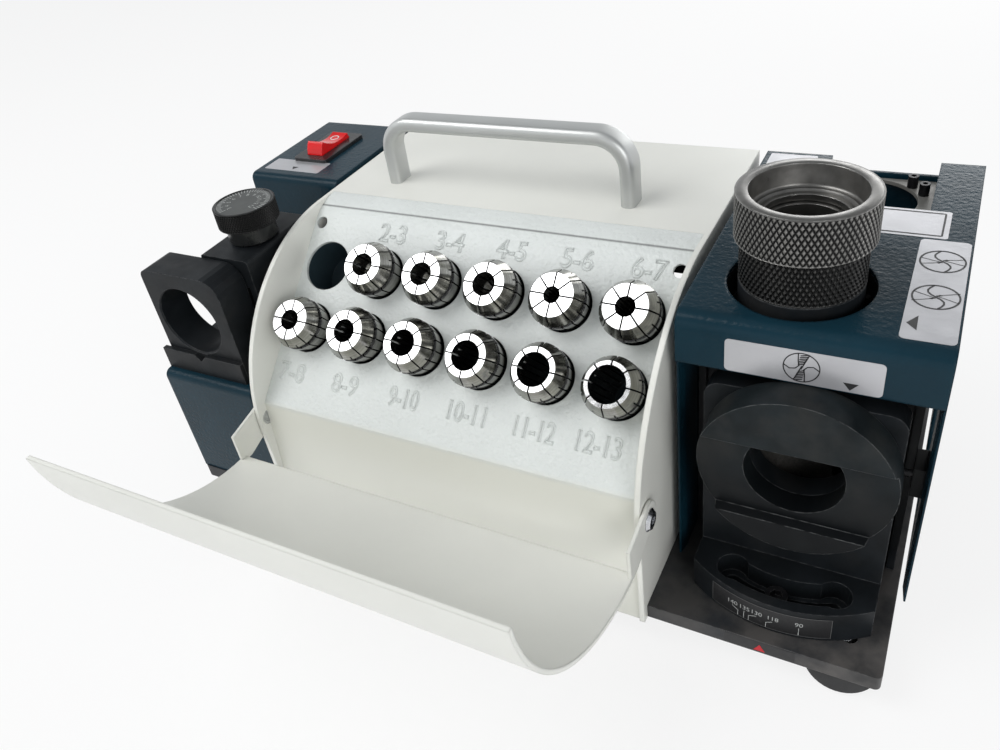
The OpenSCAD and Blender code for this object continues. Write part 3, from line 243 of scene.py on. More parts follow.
    def dark_inside(self, *masks):
        """Painted shade: dark grey where every mask is 1, on inner faces that lie in shadow."""
        inside = masks[0]
        for mask in masks[1:]:
            inside = self.maths("MULTIPLY", inside, mask)
        self.paint(self.mix(inside, self.base, (0.018, 0.018, 0.018)))
        return self

    def dark_hollows(self, reach, black_below, plain_above):
        """Painted shade: black where the piece's own walls close in within reach, as in slits and
        bores.
        """
        node = self.add("ShaderNodeAmbientOcclusion", samples=5, only_local=True)
        node.inputs["Distance"].default_value = reach * MM
        openness = self.ramp(node.outputs["AO"], black_below, plain_above)
        self.paint(self.mix(openness, (0.004, 0.004, 0.005), self.base))
        self.join(self.ramp(openness, 0.0, 1.0), self.bsdf.inputs["Metallic"])
        return self


def cream_paint():
    s = Shader("cream_paint", (0.80, 0.80, 0.745), 0.38)
    s.vary(0.03, 60, 0.05).soft_edges(0.9)
    rear_wall, roof = 111.9, 121.9
    # Painted shade on the cover's faces inside its walls and under its roof.
    s.dark_inside(
        s.beyond(X, TRAY_LEFT + 0.1, TRAY_LEFT + 0.3),
        s.beyond(X, TRAY_RIGHT - 0.1, TRAY_RIGHT - 0.3),
        s.beyond(Y, 0, 1),
        s.beyond(Y, rear_wall, rear_wall - 0.2),
        s.beyond(Z, roof, roof - 0.1),
    )
    s.bump(s.noise(0.9, 2.0), 0.035)
    s.bsdf.inputs["Coat Weight"].default_value = 0.15
    s.bsdf.inputs["Coat Roughness"].default_value = 0.25
    return s.material


def tray_paint():
    """Cooler, pebbled white on the slope, turning to smooth cream on the apron below the crease."""
    s = Shader("tray_paint", (0.735, 0.765, 0.745), 0.42)
    s.vary(0.03, 30, 0.06)
    on_slope = s.beyond(Z, 63, 66)
    s.paint(s.mix(on_slope, (0.75, 0.75, 0.68), s.base))
    slope_face, apron_face = SQUARE.dot(CREASE), APRON_SQUARE.dot(CREASE)
    # Inner faces deeper than these depths behind the slope and the apron, and below the top, get
    # painted shade.
    painted, bare, flange = 1.2, 1.5, 1.8
    s.dark_inside(
        s.beyond(SQUARE, slope_face - painted, slope_face - bare),
        s.beyond(APRON_SQUARE, apron_face - painted, apron_face - bare),
        s.beyond(Z, BODY_TOP - bare, BODY_TOP - flange),
    )
    s.soft_edges(0.6)
    pebbles = s.add("ShaderNodeTexVoronoi", feature="SMOOTH_F1")
    pebbles.inputs["Scale"].default_value = 1 / (1.7 * MM)
    pebbles.inputs["Smoothness"].default_value = 0.6
    s.join(s.coordinates, pebbles.inputs["Vector"])
    relief = s.maths("ADD", pebbles.outputs["Distance"], s.noise(0.8, 3.0))
    s.bump(s.maths("MULTIPLY", relief, on_slope), 0.26)
    return s.material


def blue_paint():
    """Dark hammered enamel: glossy, with an orange-peel surface."""
    s = Shader("blue_paint", (0.006, 0.026, 0.040), 0.22)
    s.vary(0.22, 45, 0.06).soft_edges(1.2)
    s.bump(s.noise(1.5, 2.0, 0.4), 0.11)
    s.bump(s.noise(0.5, 2.0), 0.02)
    s.bsdf.inputs["Specular IOR Level"].default_value = 0.14
    return s.material


def blackened_steel():
    s = Shader("blackened_steel", (0.010, 0.012, 0.014), 0.42)
    s.vary(0.35, 14, 0.08)
    worn = s.ramp(s.noise(22, 4.0), 0.5, 0.8)
    s.paint(s.mix(worn, s.base, (0.020, 0.020, 0.020)))
    s.worn_edges(0.5, (0.16, 0.165, 0.17), 0.5)
    s.bsdf.inputs["Specular IOR Level"].default_value = 0.16
    s.bump(s.noise(0.35, 3.0, coordinates=s.stretched((1, 1, 6))), 0.008)
    return s.material


def plate_steel():
    """The base plate: the same blacking, with grey-brown patches of painted reflection that grow
    towards the front right.
    """
    s = Shader("plate_steel", (0.020, 0.022, 0.025), 0.42)
    s.vary(0.35, 14, 0.08)
    # Painted reflection: lighter grey-brown patches that grow towards the front right.
    front_right = s.beyond((0.7, -0.7, 0), 20, 110)
    lit_and_rubbed = s.maths("MULTIPLY", front_right, s.ramp(s.noise(16, 5.0), 0.35, 0.6))
    s.paint(s.mix(lit_and_rubbed, s.base, (0.088, 0.082, 0.078)))
    s.worn_edges(0.5, (0.22, 0.22, 0.22), 0.6)
    s.bsdf.inputs["Specular IOR Level"].default_value = 0.3
    s.bump(s.noise(0.5, 4.0), 0.03)
    return s.material


def disc_steel():
    """Blackened face, cool dark grey, with painted shade darkening it towards the foot, and bright
    worn edges.
    """
    s = Shader("disc_steel", (0.013, 0.017, 0.019), 0.44, 0.15)
    s.vary(0.35, 12, 0.07)
    worn = s.ramp(s.noise(15, 4.0), 0.45, 0.75)
    s.paint(s.mix(worn, s.base, (0.030, 0.031, 0.030)))
    # Painted shade: darker towards the foot, from 90 mm down to 58 mm.
    s.paint(s.mix(s.beyond(Z, 90, 58), s.base, (0.004, 0.005, 0.006)))
    s.worn_edges(0.45, (0.26, 0.27, 0.27), 0.6)
    s.bsdf.inputs["Specular IOR Level"].default_value = 0.14
    s.bump(s.noise(0.3, 3.0, coordinates=s.stretched((1, 1, 5))), 0.008)
    return s.material


def turned_steel():
    """Grey-brown machined steel of the chuck, with fine turning lines round its axis."""
    s = Shader("turned_steel", (0.21, 0.205, 0.195), 0.33, 0.9)
    s.vary(0.22, 6, 0.06)
    s.worn_edges(0.35, (0.60, 0.60, 0.58), 0.8)
    s.bump(s.noise(0.35, 2.0, coordinates=s.stretched((0.15, 0.15, 3))), 0.012)
    return s.material


def knurl_steel():
    """The same steel on the knurls: grooves darkened as painted shade and brighter worn crests,
    following the mesh's relief.
    """
    s = Shader("knurl_steel", (0.15, 0.14, 0.125), 0.36, 0.85)
    s.vary(0.25, 5, 0.05)
    crest = s.add("ShaderNodeAttribute", attribute_name="crest")
    # Painted shade in the grooves, worn brighter steel on the crests.
    lit_and_rubbed = s.ramp(crest.outputs["Fac"], 0.35, 0.95)
    s.paint(s.mix(lit_and_rubbed, (0.016, 0.016, 0.016), (0.23, 0.225, 0.215)))
    s.bump(s.noise(0.25, 2.0), 0.006)
    return s.material


def ground_steel():
    """Ground collets: bright lapped noses, greyer cones with grinding lines, and oily patches."""
    s = Shader("ground_steel", (0.40, 0.40, 0.375), 0.17, 1.0)
    s.vary(0.12, 3.5, 0.05)
    rings = s.noise(0.9, 2.0, coordinates=s.along(SQUARE))
    s.paint(s.mix(s.ramp(rings, 0.35, 0.65), (0.27, 0.265, 0.24), s.base))
    oily = s.ramp(s.noise(6, 4.0), 0.52, 0.72)
    s.paint(s.mix(oily, s.base, (0.17, 0.17, 0.17)))
    facing = s.add("ShaderNodeVectorMath", operation="DOT_PRODUCT")
    s.join(s.surface, facing.inputs[0])
    facing.inputs[1].default_value = SQUARE
    s.paint(s.mix(s.ramp(facing.outputs["Value"], 0.93, 0.97), s.base, (0.80, 0.80, 0.80)))
    # The collets' slits and bores get painted shade.
    s.dark_hollows(5, 0.42, 0.74).soft_edges(0.12)
    return s.material


def satin_aluminium():
    s = Shader("satin_aluminium", (0.55, 0.56, 0.55), 0.42, 0.8)
    s.vary(0.04, 25, 0.05)
    s.bump(s.noise(0.25, 3.0, coordinates=s.stretched((0.1, 3, 3))), 0.006)
    return s.material


def zinc_steel():
    s = Shader("zinc_steel", (0.55, 0.56, 0.58), 0.26, 1.0)
    s.vary(0.15, 2.5, 0.06).soft_edges(0.25)
    s.bump(s.noise(0.3, 3.0), 0.01)
    return s.material


def black_screws():
    s = Shader("black_screws", (0.018, 0.018, 0.020), 0.34, 0.6)
    s.vary(0.3, 2, 0.08)
    s.worn_edges(0.25, (0.30, 0.30, 0.30), 0.5)
    return s.material


def moulded(name, colour, roughness, grain=0.02):
    s = Shader(name, colour, roughness)
    s.vary(0.10, 12, 0.05).soft_edges(0.5)
    s.bump(s.noise(0.35, 2.0), grain)
    return s.material


def guard_paint():
    s = Shader("guard_paint", (0.22, 0.215, 0.20), 0.45, 0.3)
    s.vary(0.12, 10, 0.06).soft_edges(0.4)
    s.bump(s.noise(0.6, 2.0), 0.02)
    return s.material


def brass():
    s = Shader("brass", (0.70, 0.50, 0.20), 0.3, 1.0)
    s.vary(0.12, 3, 0.05)
    return s.material


def motor_case():
    s = Shader("motor_case", (0.12, 0.125, 0.13), 0.45, 0.8)
    s.vary(0.12, 8, 0.07).soft_edges(0.6)
    s.bump(s.noise(0.8, 3.0), 0.05)
    return s.material


def wheel_grit():
    s = Shader("wheel_grit", (0.050, 0.047, 0.042), 0.8)
    s.vary(0.30, 0.8, 0.08)
    s.bump(s.noise(0.35, 4.0, 0.7), 0.12)
    return s.material


def silver_label():
    """Brushed silver film, a little creased, with a lilac cast."""
    s = Shader("silver_label", (0.54, 0.54, 0.56), 0.34, 0.5)
    s.vary(0.05, 18, 0.06)
    s.bump(s.noise(9, 3.0), 0.10)
    s.bump(s.noise(0.25, 2.0, coordinates=s.stretched((0.2, 1, 6))), 0.004)
    return s.material


def ink(name, colour):
    s = Shader(name, colour, 0.5)
    s.vary(0.06, 3, 0.05)
    return s.material


MATERIALS = {
    "cream_paint": cream_paint(),
    "tray_paint": tray_paint(),
    "blue_paint": blue_paint(),
    "blackened_steel": blackened_steel(),
    "disc_steel": disc_steel(),
    "knurled_steel": turned_steel(),
    "ground_steel": ground_steel(),
    "satin_aluminium": satin_aluminium(),
    "zinc_steel": zinc_steel(),
    "black_screws": black_screws(),
    "foot_rubber": moulded("foot_rubber", (0.014, 0.014, 0.015), 0.62, 0.04),
    "black_plastic": moulded("black_plastic", (0.010, 0.010, 0.011), 0.30),
    "red_plastic": moulded("red_plastic", (0.72, 0.006, 0.008), 0.16, 0.006),
    "rack_plastic": moulded("rack_plastic", (0.022, 0.040, 0.050), 0.5),
    "brass": brass(),
    "guard_paint": guard_paint(),
    "motor_case": motor_case(),
    "wheel_grit": wheel_grit(),
}
STEEL = MATERIALS["knurled_steel"]
KNURL = knurl_steel()
LABEL = silver_label()
BLACK_INK = ink("black_ink", (0.012, 0.012, 0.013))
WHITE_INK = ink("white_ink", (0.78, 0.78, 0.76))
GREY_INK = ink("grey_ink", (0.10, 0.10, 0.10))
PALE_INK = ink("pale_ink", (0.42, 0.43, 0.42))
DIAL_BLACK = moulded("dial_black", (0.010, 0.011, 0.011), 0.30, 0.004)
# A lighter copy of the dial's black plastic on its top face: painted light where the top faces up.
DIAL_LIT_FACE = moulded("dial_lit_face", (0.062, 0.066, 0.063), 0.45, 0.006)
PLATE = plate_steel()
RED_INK = ink("red_ink", (0.55, 0.01, 0.02))


def dress_cad():
    """Every CAD node gets the material of its slot, and the base plate a browner one of its own."""
    slots = {s["node"]: s["material_slot"] for s in frame["record"]["subparts"]}
    for name, obj in frame["nodes"].items():
        obj.data.materials.clear()
        obj.data.materials.append(PLATE if name == "base_plate" else MATERIALS[slots[name]])


# ---- Mesh helpers ----

def show(obj):
    bpy.context.scene.collection.objects.link(obj)
    return obj


def piece(name, points, faces, body, material, smooth=None):
    """A mesh from points in millimetres that rides on a body.

    Neighbouring faces that meet at less than smooth degrees are shaded as one.
    """
    mesh = bpy.data.meshes.new(name)
    mesh.from_pydata([Vector(p) * MM for p in points], [], faces)
    mesh.validate()
    mesh.materials.append(material)
    obj = show(bpy.data.objects.new(name, mesh))
    if smooth is not None:
        mesh.shade_smooth()
        mesh.set_sharp_from_angle(angle=math.radians(smooth))
    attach(obj, body)
    return obj


def lathe(profile, centre, turns):
    """Points and faces of a closed (radius, height) profile turned round an upright axis."""
    points, faces = [], []
    count = len(profile)
    for i in range(turns):
        a = 2 * math.pi * i / turns
        points += [(centre.x + r * math.cos(a), centre.y + r * math.sin(a), z) for r, z in profile]
        j = (i + 1) % turns
        for k in range(count):
            m = (k + 1) % count
            faces.append((i * count + k, j * count + k, j * count + m, i * count + m))
    return points, faces


def turned_piece(name, profile, centre, body, material, turns=128):
    """A round piece from its closed profile of (radius, height)."""
    points, faces = lathe(profile, centre, turns)
    return piece(name, points, faces, body, material, smooth=40)


def rounded_outline(x0, y0, x1, y1, r, steps=5):
    """Corner points of a rectangle with rounded corners, anticlockwise."""
    left, right, near, far = x0 + r, x1 - r, y0 + r, y1 - r
    points = []
    for cx, cy, start in ((right, near, -90), (right, far, 0), (left, far, 90), (left, near, 180)):
        for k in range(steps + 1):
            a = math.radians(start + 90 * k / steps)
            points.append((cx + r * math.cos(a), cy + r * math.sin(a)))
    return points


class Plane:
    """A flat place on the object: origin, its right and its up direction."""

    def __init__(self, origin, right, up):
        self.origin = Vector(origin)
        self.right = Vector(right).normalized()
        self.up = Vector(up).normalized()
        self.out = self.right.cross(self.up)

    def at(self, u, v, out=0.0):
        return self.origin + u * self.right + v * self.up + out * self.out


class Drum:
    """The outside of an upright cylinder: u runs round it to the right from its front, v up it."""

    def __init__(self, centre, radius):
        self.centre, self.radius = centre, radius

    def at(self, u, v, out=0.0):
        a = u / self.radius
        r = self.radius + out
        return Vector((self.centre.x + r * math.sin(a), self.centre.y - r * math.cos(a), v))


HOUSING_TOPS = Plane((0, 0, BODY_TOP), X, Y)


def slab(name, outline, place, bottom, top, body, material):
    """A thin plate of the outline, from bottom to top above the place."""
    n = len(outline)
    points = [place.at(u, v, out) for out in (bottom, top) for u, v in outline]
    faces = [tuple(reversed(range(n))), tuple(range(n, 2 * n))]
    faces += [(i, (i + 1) % n, n + (i + 1) % n, n + i) for i in range(n)]
    return piece(name, points, faces, body, material)


def ribbon(points, faces, line, width, place, bottom, top, closed=False):
    """Adds a flat drawn line, width wide, to points and faces."""
    count = len(line)
    start = len(points)
    for i, (x, y) in enumerate(line):
        before = line[i - 1] if i or closed else line[i]
        after = line[(i + 1) % count] if i < count - 1 or closed else line[i]
        along = Vector((after[0] - before[0], after[1] - before[1])).normalized()
        side = Vector((-along.y, along.x)) * width / 2
        for out in (bottom, top):
            points.append(place.at(x + side.x, y + side.y, out))
            points.append(place.at(x - side.x, y - side.y, out))
    for i in range(count if closed else count - 1):
        a = start + 4 * i
        b = start + 4 * ((i + 1) % count)
        faces += [
            (a + 2, a + 3, b + 3, b + 2), (a, a + 2, b + 2, b),
            (a + 3, a + 1, b + 1, b + 3), (a + 1, a, b, b + 1),
        ]
    if not closed:
        end = start + 4 * (count - 1)
        faces += [(start, start + 1, start + 3, start + 2), (end + 2, end + 3, end + 1, end)]


def drawing(name, lines, width, place, body, material, bottom=INK_BOTTOM, top=INK_TOP):
    """Flat lines, each a list of (u, v) points. A line that ends where it starts is closed."""
    points, faces = [], []
    for line in lines:
        closed = line[0] == line[-1]
        ribbon(points, faces, line[:-1] if closed else line, width, place, bottom, top, closed)
    return piece(name, points, faces, body, material)


def circle(cx, cy, r, steps=40):
    """A closed line round a centre."""
    line = []
    for k in range(steps):
        a = 2 * math.pi * k / steps
        line.append((cx + r * math.cos(a), cy + r * math.sin(a)))
    return line + line[:1]


def flat_text(words, size):
    """Points and faces of words on the plane Z = 0, centred, size millimetres high."""
    curve = bpy.data.curves.new("words", "FONT")
    curve.body = words
    curve.size = size
    curve.align_x = "CENTER"
    curve.align_y = "CENTER"
    curve.resolution_u = 4
    holder = show(bpy.data.objects.new("words", curve))
    bpy.context.view_layer.update()
    mesh = bpy.data.meshes.new_from_object(holder)
    points = [v.co.copy() for v in mesh.vertices]
    faces = [tuple(p.vertices) for p in mesh.polygons]
    bpy.data.objects.remove(holder)
    bpy.data.curves.remove(curve)
    bpy.data.meshes.remove(mesh)
    return points, faces


def print_words(name, items, place, body, material, out):
    """Printed words as one flat mesh. Each item is (words, size, u, v, turn in degrees)."""
    points, faces = [], []
    for words, size, u, v, turn in items:
        flat, flat_faces = flat_text(words, size)
        start = len(points)
        spin = Matrix.Rotation(math.radians(turn), 3, "Z")
        for p in flat:
            q = spin @ p
            points.append(place.at(u + q.x, v + q.y, out))
        faces += [tuple(start + i for i in f) for f in flat_faces]
    return piece(name, points, faces, body, material)


def outline_loops(points, faces):
    """The closed border loops of a flat mesh."""
    edges = {}
    for f in faces:
        for a, b in zip(f, f[1:] + f[:1]):
            if (b, a) in edges:
                del edges[(b, a)]
            else:
                edges[(a, b)] = True
    follow = dict(edges.keys())
    loops = []
    while follow:
        first, here = next(iter(follow.items()))
        loop = [first]
        del follow[first]
        while here != first and here in follow:
            loop.append(here)
            here = follow.pop(here)
        loops.append([(points[i].x, points[i].y) for i in loop])
    return loops


def welded(points, faces):
    """The same flat mesh with points in one place joined."""
    places, index = {}, []
    for p in points:
        key = (round(p.x, 4), round(p.y, 4))
        index.append(places.setdefault(key, len(places)))
    merged = [Vector((x, y, 0)) for x, y in places]
    kept = [tuple(dict.fromkeys(index[i] for i in f)) for f in faces]
    return merged, [f for f in kept if len(f) > 2]


def embossed(name, items, place, tall, width, height, body, material):
    """Raised outlines of words, as a moulded ridge. Each item is (words, total width, u, v)."""
    points, faces = [], []
    shortest_step = 0.12
    profile = [(-0.5, -0.1), (-0.32, 0.72), (0.0, 1.0), (0.32, 0.72), (0.5, -0.1)]
    rib = len(profile)
    for words, wide, u, v in items:
        loops = outline_loops(*welded(*flat_text(words, tall)))
        xs = [x for loop in loops for x, y in loop]
        ys = [y for loop in loops for x, y in loop]
        sx = (wide - width) / (max(xs) - min(xs))
        sy = (tall - width) / (max(ys) - min(ys))
        mx, my = (max(xs) + min(xs)) / 2, (max(ys) + min(ys)) / 2
        for loop in loops:
            loop = [((x - mx) * sx, (y - my) * sy) for x, y in loop]
            line = [p for i, p in enumerate(loop) if math.dist(p, loop[i - 1]) > shortest_step]
            count = len(line)
            start = len(points)
            for i, (x, y) in enumerate(line):
                before, after = line[i - 1], line[(i + 1) % count]
                along = Vector((after[0] - before[0], after[1] - before[1])).normalized()
                side = Vector((-along.y, along.x)) * width
                for s, h in profile:
                    points.append(place.at(u + x + side.x * s, v + y + side.y * s, h * height))
            for i in range(count):
                a, b = start + rib * i, start + rib * ((i + 1) % count)
                faces += [(a + k, a + k + 1, b + k + 1, b + k) for k in range(rib - 1)]
    return piece(name, points, faces, body, material, smooth=50)


# ---- Pieces ----

def knurled_band(name, centre, radius, span, pitch, depth, body, plain=0.5, crest_tone_and_shade=1.0):
    """A ring with diamond knurling cut into its outside.

    It fades out within plain millimetres of either rim. Its last argument sets how bright its crests
    are: their own tone, and painted shade where a knurl lies in shadow.
    """
    z0, z1 = span
    wall, cells, helix_angle, crest_gain = 1.2, 8, math.radians(30), 1.6
    inner = radius - wall
    ridges = round(2 * math.pi * radius / pitch)
    columns = ridges * cells
    rows = max(cells, round((z1 - z0) / (pitch / cells)))
    helix = math.tan(helix_angle) / radius
    points, faces, crest = [], [], []

    def wave(x):
        return abs((x % 1.0) * 2 - 1)

    for j in range(rows + 1):
        z = z0 + (z1 - z0) * j / rows
        margin = min(z - z0, z1 - z)
        fade = min(1.0, max(0.0, (margin - plain * 0.4) / (plain * 0.6)))
        for i in range(columns):
            a = 2 * math.pi * i / columns
            turn = (z - z0) * helix
            right = wave(ridges * (a + turn) / (2 * math.pi))
            left = wave(ridges * (a - turn) / (2 * math.pi))
            height = min(1.0, crest_gain * min(right, left))
            r = radius - depth * fade * (1 - height)
            points.append((centre.x + r * math.cos(a), centre.y + r * math.sin(a), z))
            crest.append((height * fade + (1 - fade)) * crest_tone_and_shade)
    for j in range(rows):
        here, above = j * columns, (j + 1) * columns
        for i in range(columns):
            k = (i + 1) % columns
            faces.append((here + i, here + k, above + k, above + i))
    for z, row in ((z0, 0), (z1, rows)):
        start = len(points)
        for i in range(columns):
            a = 2 * math.pi * i / columns
            points.append((centre.x + inner * math.cos(a), centre.y + inner * math.sin(a), z))
            crest.append(crest_tone_and_shade)
        for i in range(columns):
            k = (i + 1) % columns
            ring = (row * columns + i, start + i, start + k, row * columns + k)
            faces.append(ring if row == 0 else tuple(reversed(ring)))
    obj = piece(name, points, faces, body, KNURL)
    attribute = obj.data.attributes.new("crest", "FLOAT", "POINT")
    attribute.data.foreach_set("value", crest)


def chuck_cap():
    """The knurled cap: smooth chamfered rims, a stepped bright mouth and a knurled band."""
    z0, z1 = low("chuck_cap").z, high("chuck_cap").z
    r = (high("chuck_cap").x - low("chuck_cap").x) / 2
    rim, thread, thread_top, mouth, throat = 0.5, 13.56, z0 + 4.4, 16.6, 12.4
    profile = [
        (thread, z0), (r - 1.2, z0), (r - 0.5, z0 + 0.25), (r - 0.6, z0 + rim), (r - 0.9, z0 + rim),
        (r - 0.9, z1 - rim), (r - 0.6, z1 - rim), (r - 0.45, z1 - 0.2), (r - 0.75, z1),
        (mouth + 0.4, z1), (mouth + 0.1, z1 - 0.15), (mouth, z1 - 0.5), (mouth, z1 - 6.9),
        (16.3, z1 - 7.4), (15.7, z1 - 7.75), (15.2, z1 - 7.7), (15.0, z1 - 7.55), (14.8, z1 - 7.7),
        (14.3, z1 - 8.15), (13.7, z1 - 8.25), (12.9, z1 - 8.15), (throat + 0.05, z1 - 8.4),
        (throat, thread_top), (thread, thread_top),
    ]
    core = turned_piece("chuck_cap_core", profile, CHUCK, "chuck_cap", STEEL)
    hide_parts("chuck_cap")
    span, slot = (z0 + 0.3, z1 - 0.25), "knurled_steel"
    knurled_band("chuck_cap_knurl", CHUCK, r, span, 1.75, 0.42, "chuck_cap", plain=0.25)


def chuck_body():
    """The lower body: knurled down to just above the housing, with a plain blackened band below."""
    z_floor = BODY_TOP - 11.7
    z_band = BODY_TOP + 2.3
    z0, z1 = low("chuck_body").z, low("chuck_cap").z - 0.1
    r, nose, thread, seat, bore = 18.7, 15.2, 13.5, 11, 7.5
    profile = [
        (bore, z0), (nose - 1.1, z0), (nose, z0 + 1), (nose, z_floor), (r - 0.9, z_floor),
        (r - 0.9, z1), (thread, z1), (thread, z1 + 4.1), (seat, z1 + 4.1), (seat, z1 - 5),
        (bore, z1 - 29),
    ]
    core = turned_piece("chuck_body_core", profile, CHUCK, "chuck", STEEL)
    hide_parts("chuck_body")
    ring = [
        (r - 1.2, z_floor), (r - 0.5, z_floor), (r, z_floor + 0.5),
        (r, z_band - 0.3), (r - 0.3, z_band), (r - 1.2, z_band),
    ]
    black = MATERIALS["blackened_steel"]
    turned_piece("chuck_body_band", ring, CHUCK, "chuck", black)
    span = (z_band, z1)
    # Crests at half brightness: painted shade under the wider cap.
    knurled_band("chuck_body_knurl", CHUCK, r, span, 1.75, 0.5, "chuck", crest_tone_and_shade=0.5)


def dial():
    """The numbered dial: knurled rim, dished top, ticks and numbers."""
    z0, z1 = low("dial_knob").z, high("dial_knob").z
    r = (high("dial_knob").x - low("dial_knob").x) / 2
    rim_z = z0 + 7
    face = z1 - 0.35
    axis, hub = 0.01, 10
    profile = [
        (axis, z0), (hub - 0.6, z0), (hub, z0 + 0.6), (hub, rim_z - 0.7), (r - 1.4, rim_z - 0.1),
        (r - 0.9, rim_z + 0.5), (r - 0.9, z1 - 0.8), (r - 0.45, z1 - 0.35), (r - 0.6, z1 - 0.05),
        (r - 0.9, z1), (r - 1.2, face), (r - 1.6, face - 0.3), (axis, face - 0.3),
    ]
    core = turned_piece("dial_core", profile, DIAL, "dial", DIAL_BLACK, 96)
    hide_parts("dial_knob")
    span = (rim_z + 0.3, z1 - 0.3)
    knurled_band("dial_knurl", DIAL, r, span, 1.1, 0.28, "dial", crest_tone_and_shade=0.12)
    disc = [(axis, face - 0.3), (r - 1.3, face - 0.3), (r - 1.3, face), (axis, face)]
    # The top face in the lighter copy of the dial's plastic: painted light.
    turned_piece("dial_lit_face", disc, DIAL, "dial", DIAL_LIT_FACE, 96)
    top = Plane((DIAL.x, DIAL.y, face), X, Y)
    steps, steps_per_number, first_number, first_angle, sweep = 40, 4, 3, 250, 270
    ticks, numbers = [], []
    for i in range(steps + 1):
        a = math.radians(first_angle - sweep * i / steps)
        across, up = math.cos(a), math.sin(a)
        numbered = i % steps_per_number == 0
        inner, outer, middle = r - (4.4 if numbered else 3.4), r - 1.6, r - 6.1
        ticks.append([(inner * across, inner * up), (outer * across, outer * up)])
        if numbered:
            words = str(first_number + i // steps_per_number)
            numbers.append((words, 2.6, middle * across, middle * up, math.degrees(a) - 90))
    drawing("dial_ticks", ticks, 0.3, top, "dial", PALE_INK, 0.0, 0.03)
    print_words("dial_numbers", numbers, top, "dial", PALE_INK, 0.03)


def handle():
    """The carrying bar: an oval-edged bar bent at both ends."""
    a, b = low("handle"), high("handle")
    half_t, half_d, outer, edge, steps = 2.9, (b.y - a.y) / 2, 15, 2.3, 16
    mid_y = (a.y + b.y) / 2
    path = [(Vector((a.x + half_t, 0, a.z)), Vector(X))]
    for cx, start in ((a.x + outer, 180), (b.x - outer, 90)):
        for k in range(steps + 1):
            d = math.radians(start - 90 * k / steps)
            out = Vector((math.cos(d), 0, math.sin(d)))
            path.append((Vector((cx, 0, b.z - outer)) + out * (outer - half_t), -out))
    path.append((Vector((b.x - half_t, 0, a.z)), -Vector(X)))
    ring = rounded_outline(-half_t, -half_d, half_t, half_d, edge, 6)
    points, faces = [], []
    for centre, inward in path:
        for s, t in ring:
            points.append(centre + inward * s + Vector((0, mid_y + t, 0)))
    n = len(ring)
    for i in range(len(path) - 1):
        for k in range(n):
            m = (k + 1) % n
            faces.append((i * n + k, i * n + m, (i + 1) * n + m, (i + 1) * n + k))
    faces += [tuple(reversed(range(n))), tuple((len(path) - 1) * n + k for k in range(n))]
    aluminium = "satin_aluminium"
    obj = piece("handle_bar", points, faces, "machine", MATERIALS[aluminium], smooth=35)
    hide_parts("handle")


def tray_numbers():
    """Raised size numbers above the upper row and below the lower row, each of its own width."""
    middle = (TRAY_LEFT + TRAY_RIGHT) / 2
    place = Plane(CREASE, X, SLOPE)
    pitch, first, upper_v, lower_v = 26.4, middle - 40.3, 76.8, 14.6
    items = [(f"{n}-{n + 1}", 12.8, first + (n - 2) * pitch, upper_v) for n in range(2, 7)]
    lower = ((12.7, -69.9), (12.5, -43.7), (13.8, -16.3), (15.9, 11.1), (16.1, 38.3), (16.4, 62.2))
    items += [(f"{n}-{n + 1}", wide, middle + u, lower_v) for n, (wide, u) in enumerate(lower, 7)]
    paint = "tray_paint"
    embossed("tray_numbers", items, place, 8.1, 0.75, 0.42, "machine", MATERIALS[paint])


def turned(line, cx, cy, r):
    """A line given for a circle of radius 1, put on its place, and again half a turn round."""
    return [[(cx + side * r * x, cy + side * r * y) for x, y in line] for side in (1, -1)]


S_LINE = [(0, 0), (-0.22, 0.17), (-0.36, 0.36), (-0.38, 0.55), (-0.30, 0.75), (-0.14, 0.99)]
FLUTE_LINE = [
    (-0.22, 0.975), (-0.20, 0.45), (-0.14, 0.12), (-0.34, -0.1), (-0.65, -0.16), (-0.985, 0.06),
]
WEB_LINE = [(0.38, 0.925), (-0.02, -0.12)]


def drill_tip_sign(cx, cy, r, spread):
    """A drill's end view: circle and S-shaped lips as thick lines, and fine lines about its web."""
    thick = [circle(cx, cy, r)] + turned(S_LINE, cx, cy, r)
    fine = []
    for slope in (spread, -spread):
        fine += turned([(0.0, 0.10), (0.97, 0.10 - 0.97 * slope)], cx, cy, r)
    return thick, fine


def fascia_sign(cx, cy, r):
    """End view of a drill: its circle, two flutes and the hatched web between them."""
    lines = [circle(cx, cy, r)] + turned(FLUTE_LINE, cx, cy, r) + turned(WEB_LINE, cx, cy, r)
    for k in range(6):
        y = 0.16 + 0.13 * k
        lines += turned([(-0.2 + 0.02 * k, y), (min(0.40 * y + 0.10, 0.36), y + 0.15)], cx, cy, r)
    return lines


def film(name, x0, y0, x1, y1, r, place, material=LABEL):
    """A thin label with rounded corners, stuck on the machine."""
    slab(name, rounded_outline(x0, y0, x1, y1, r), place, 0.0, FILM, "machine", material)


def signs(name, lines, width, place, material=BLACK_INK):
    """Lines printed on a label of the machine."""
    drawing(name, lines, width, place, "machine", material)


def triangle(name, corners, place, material=BLACK_INK):
    """A small solid mark printed on a label of the machine."""
    slab(name, corners, place, INK_BOTTOM, INK_TOP, "machine", material)


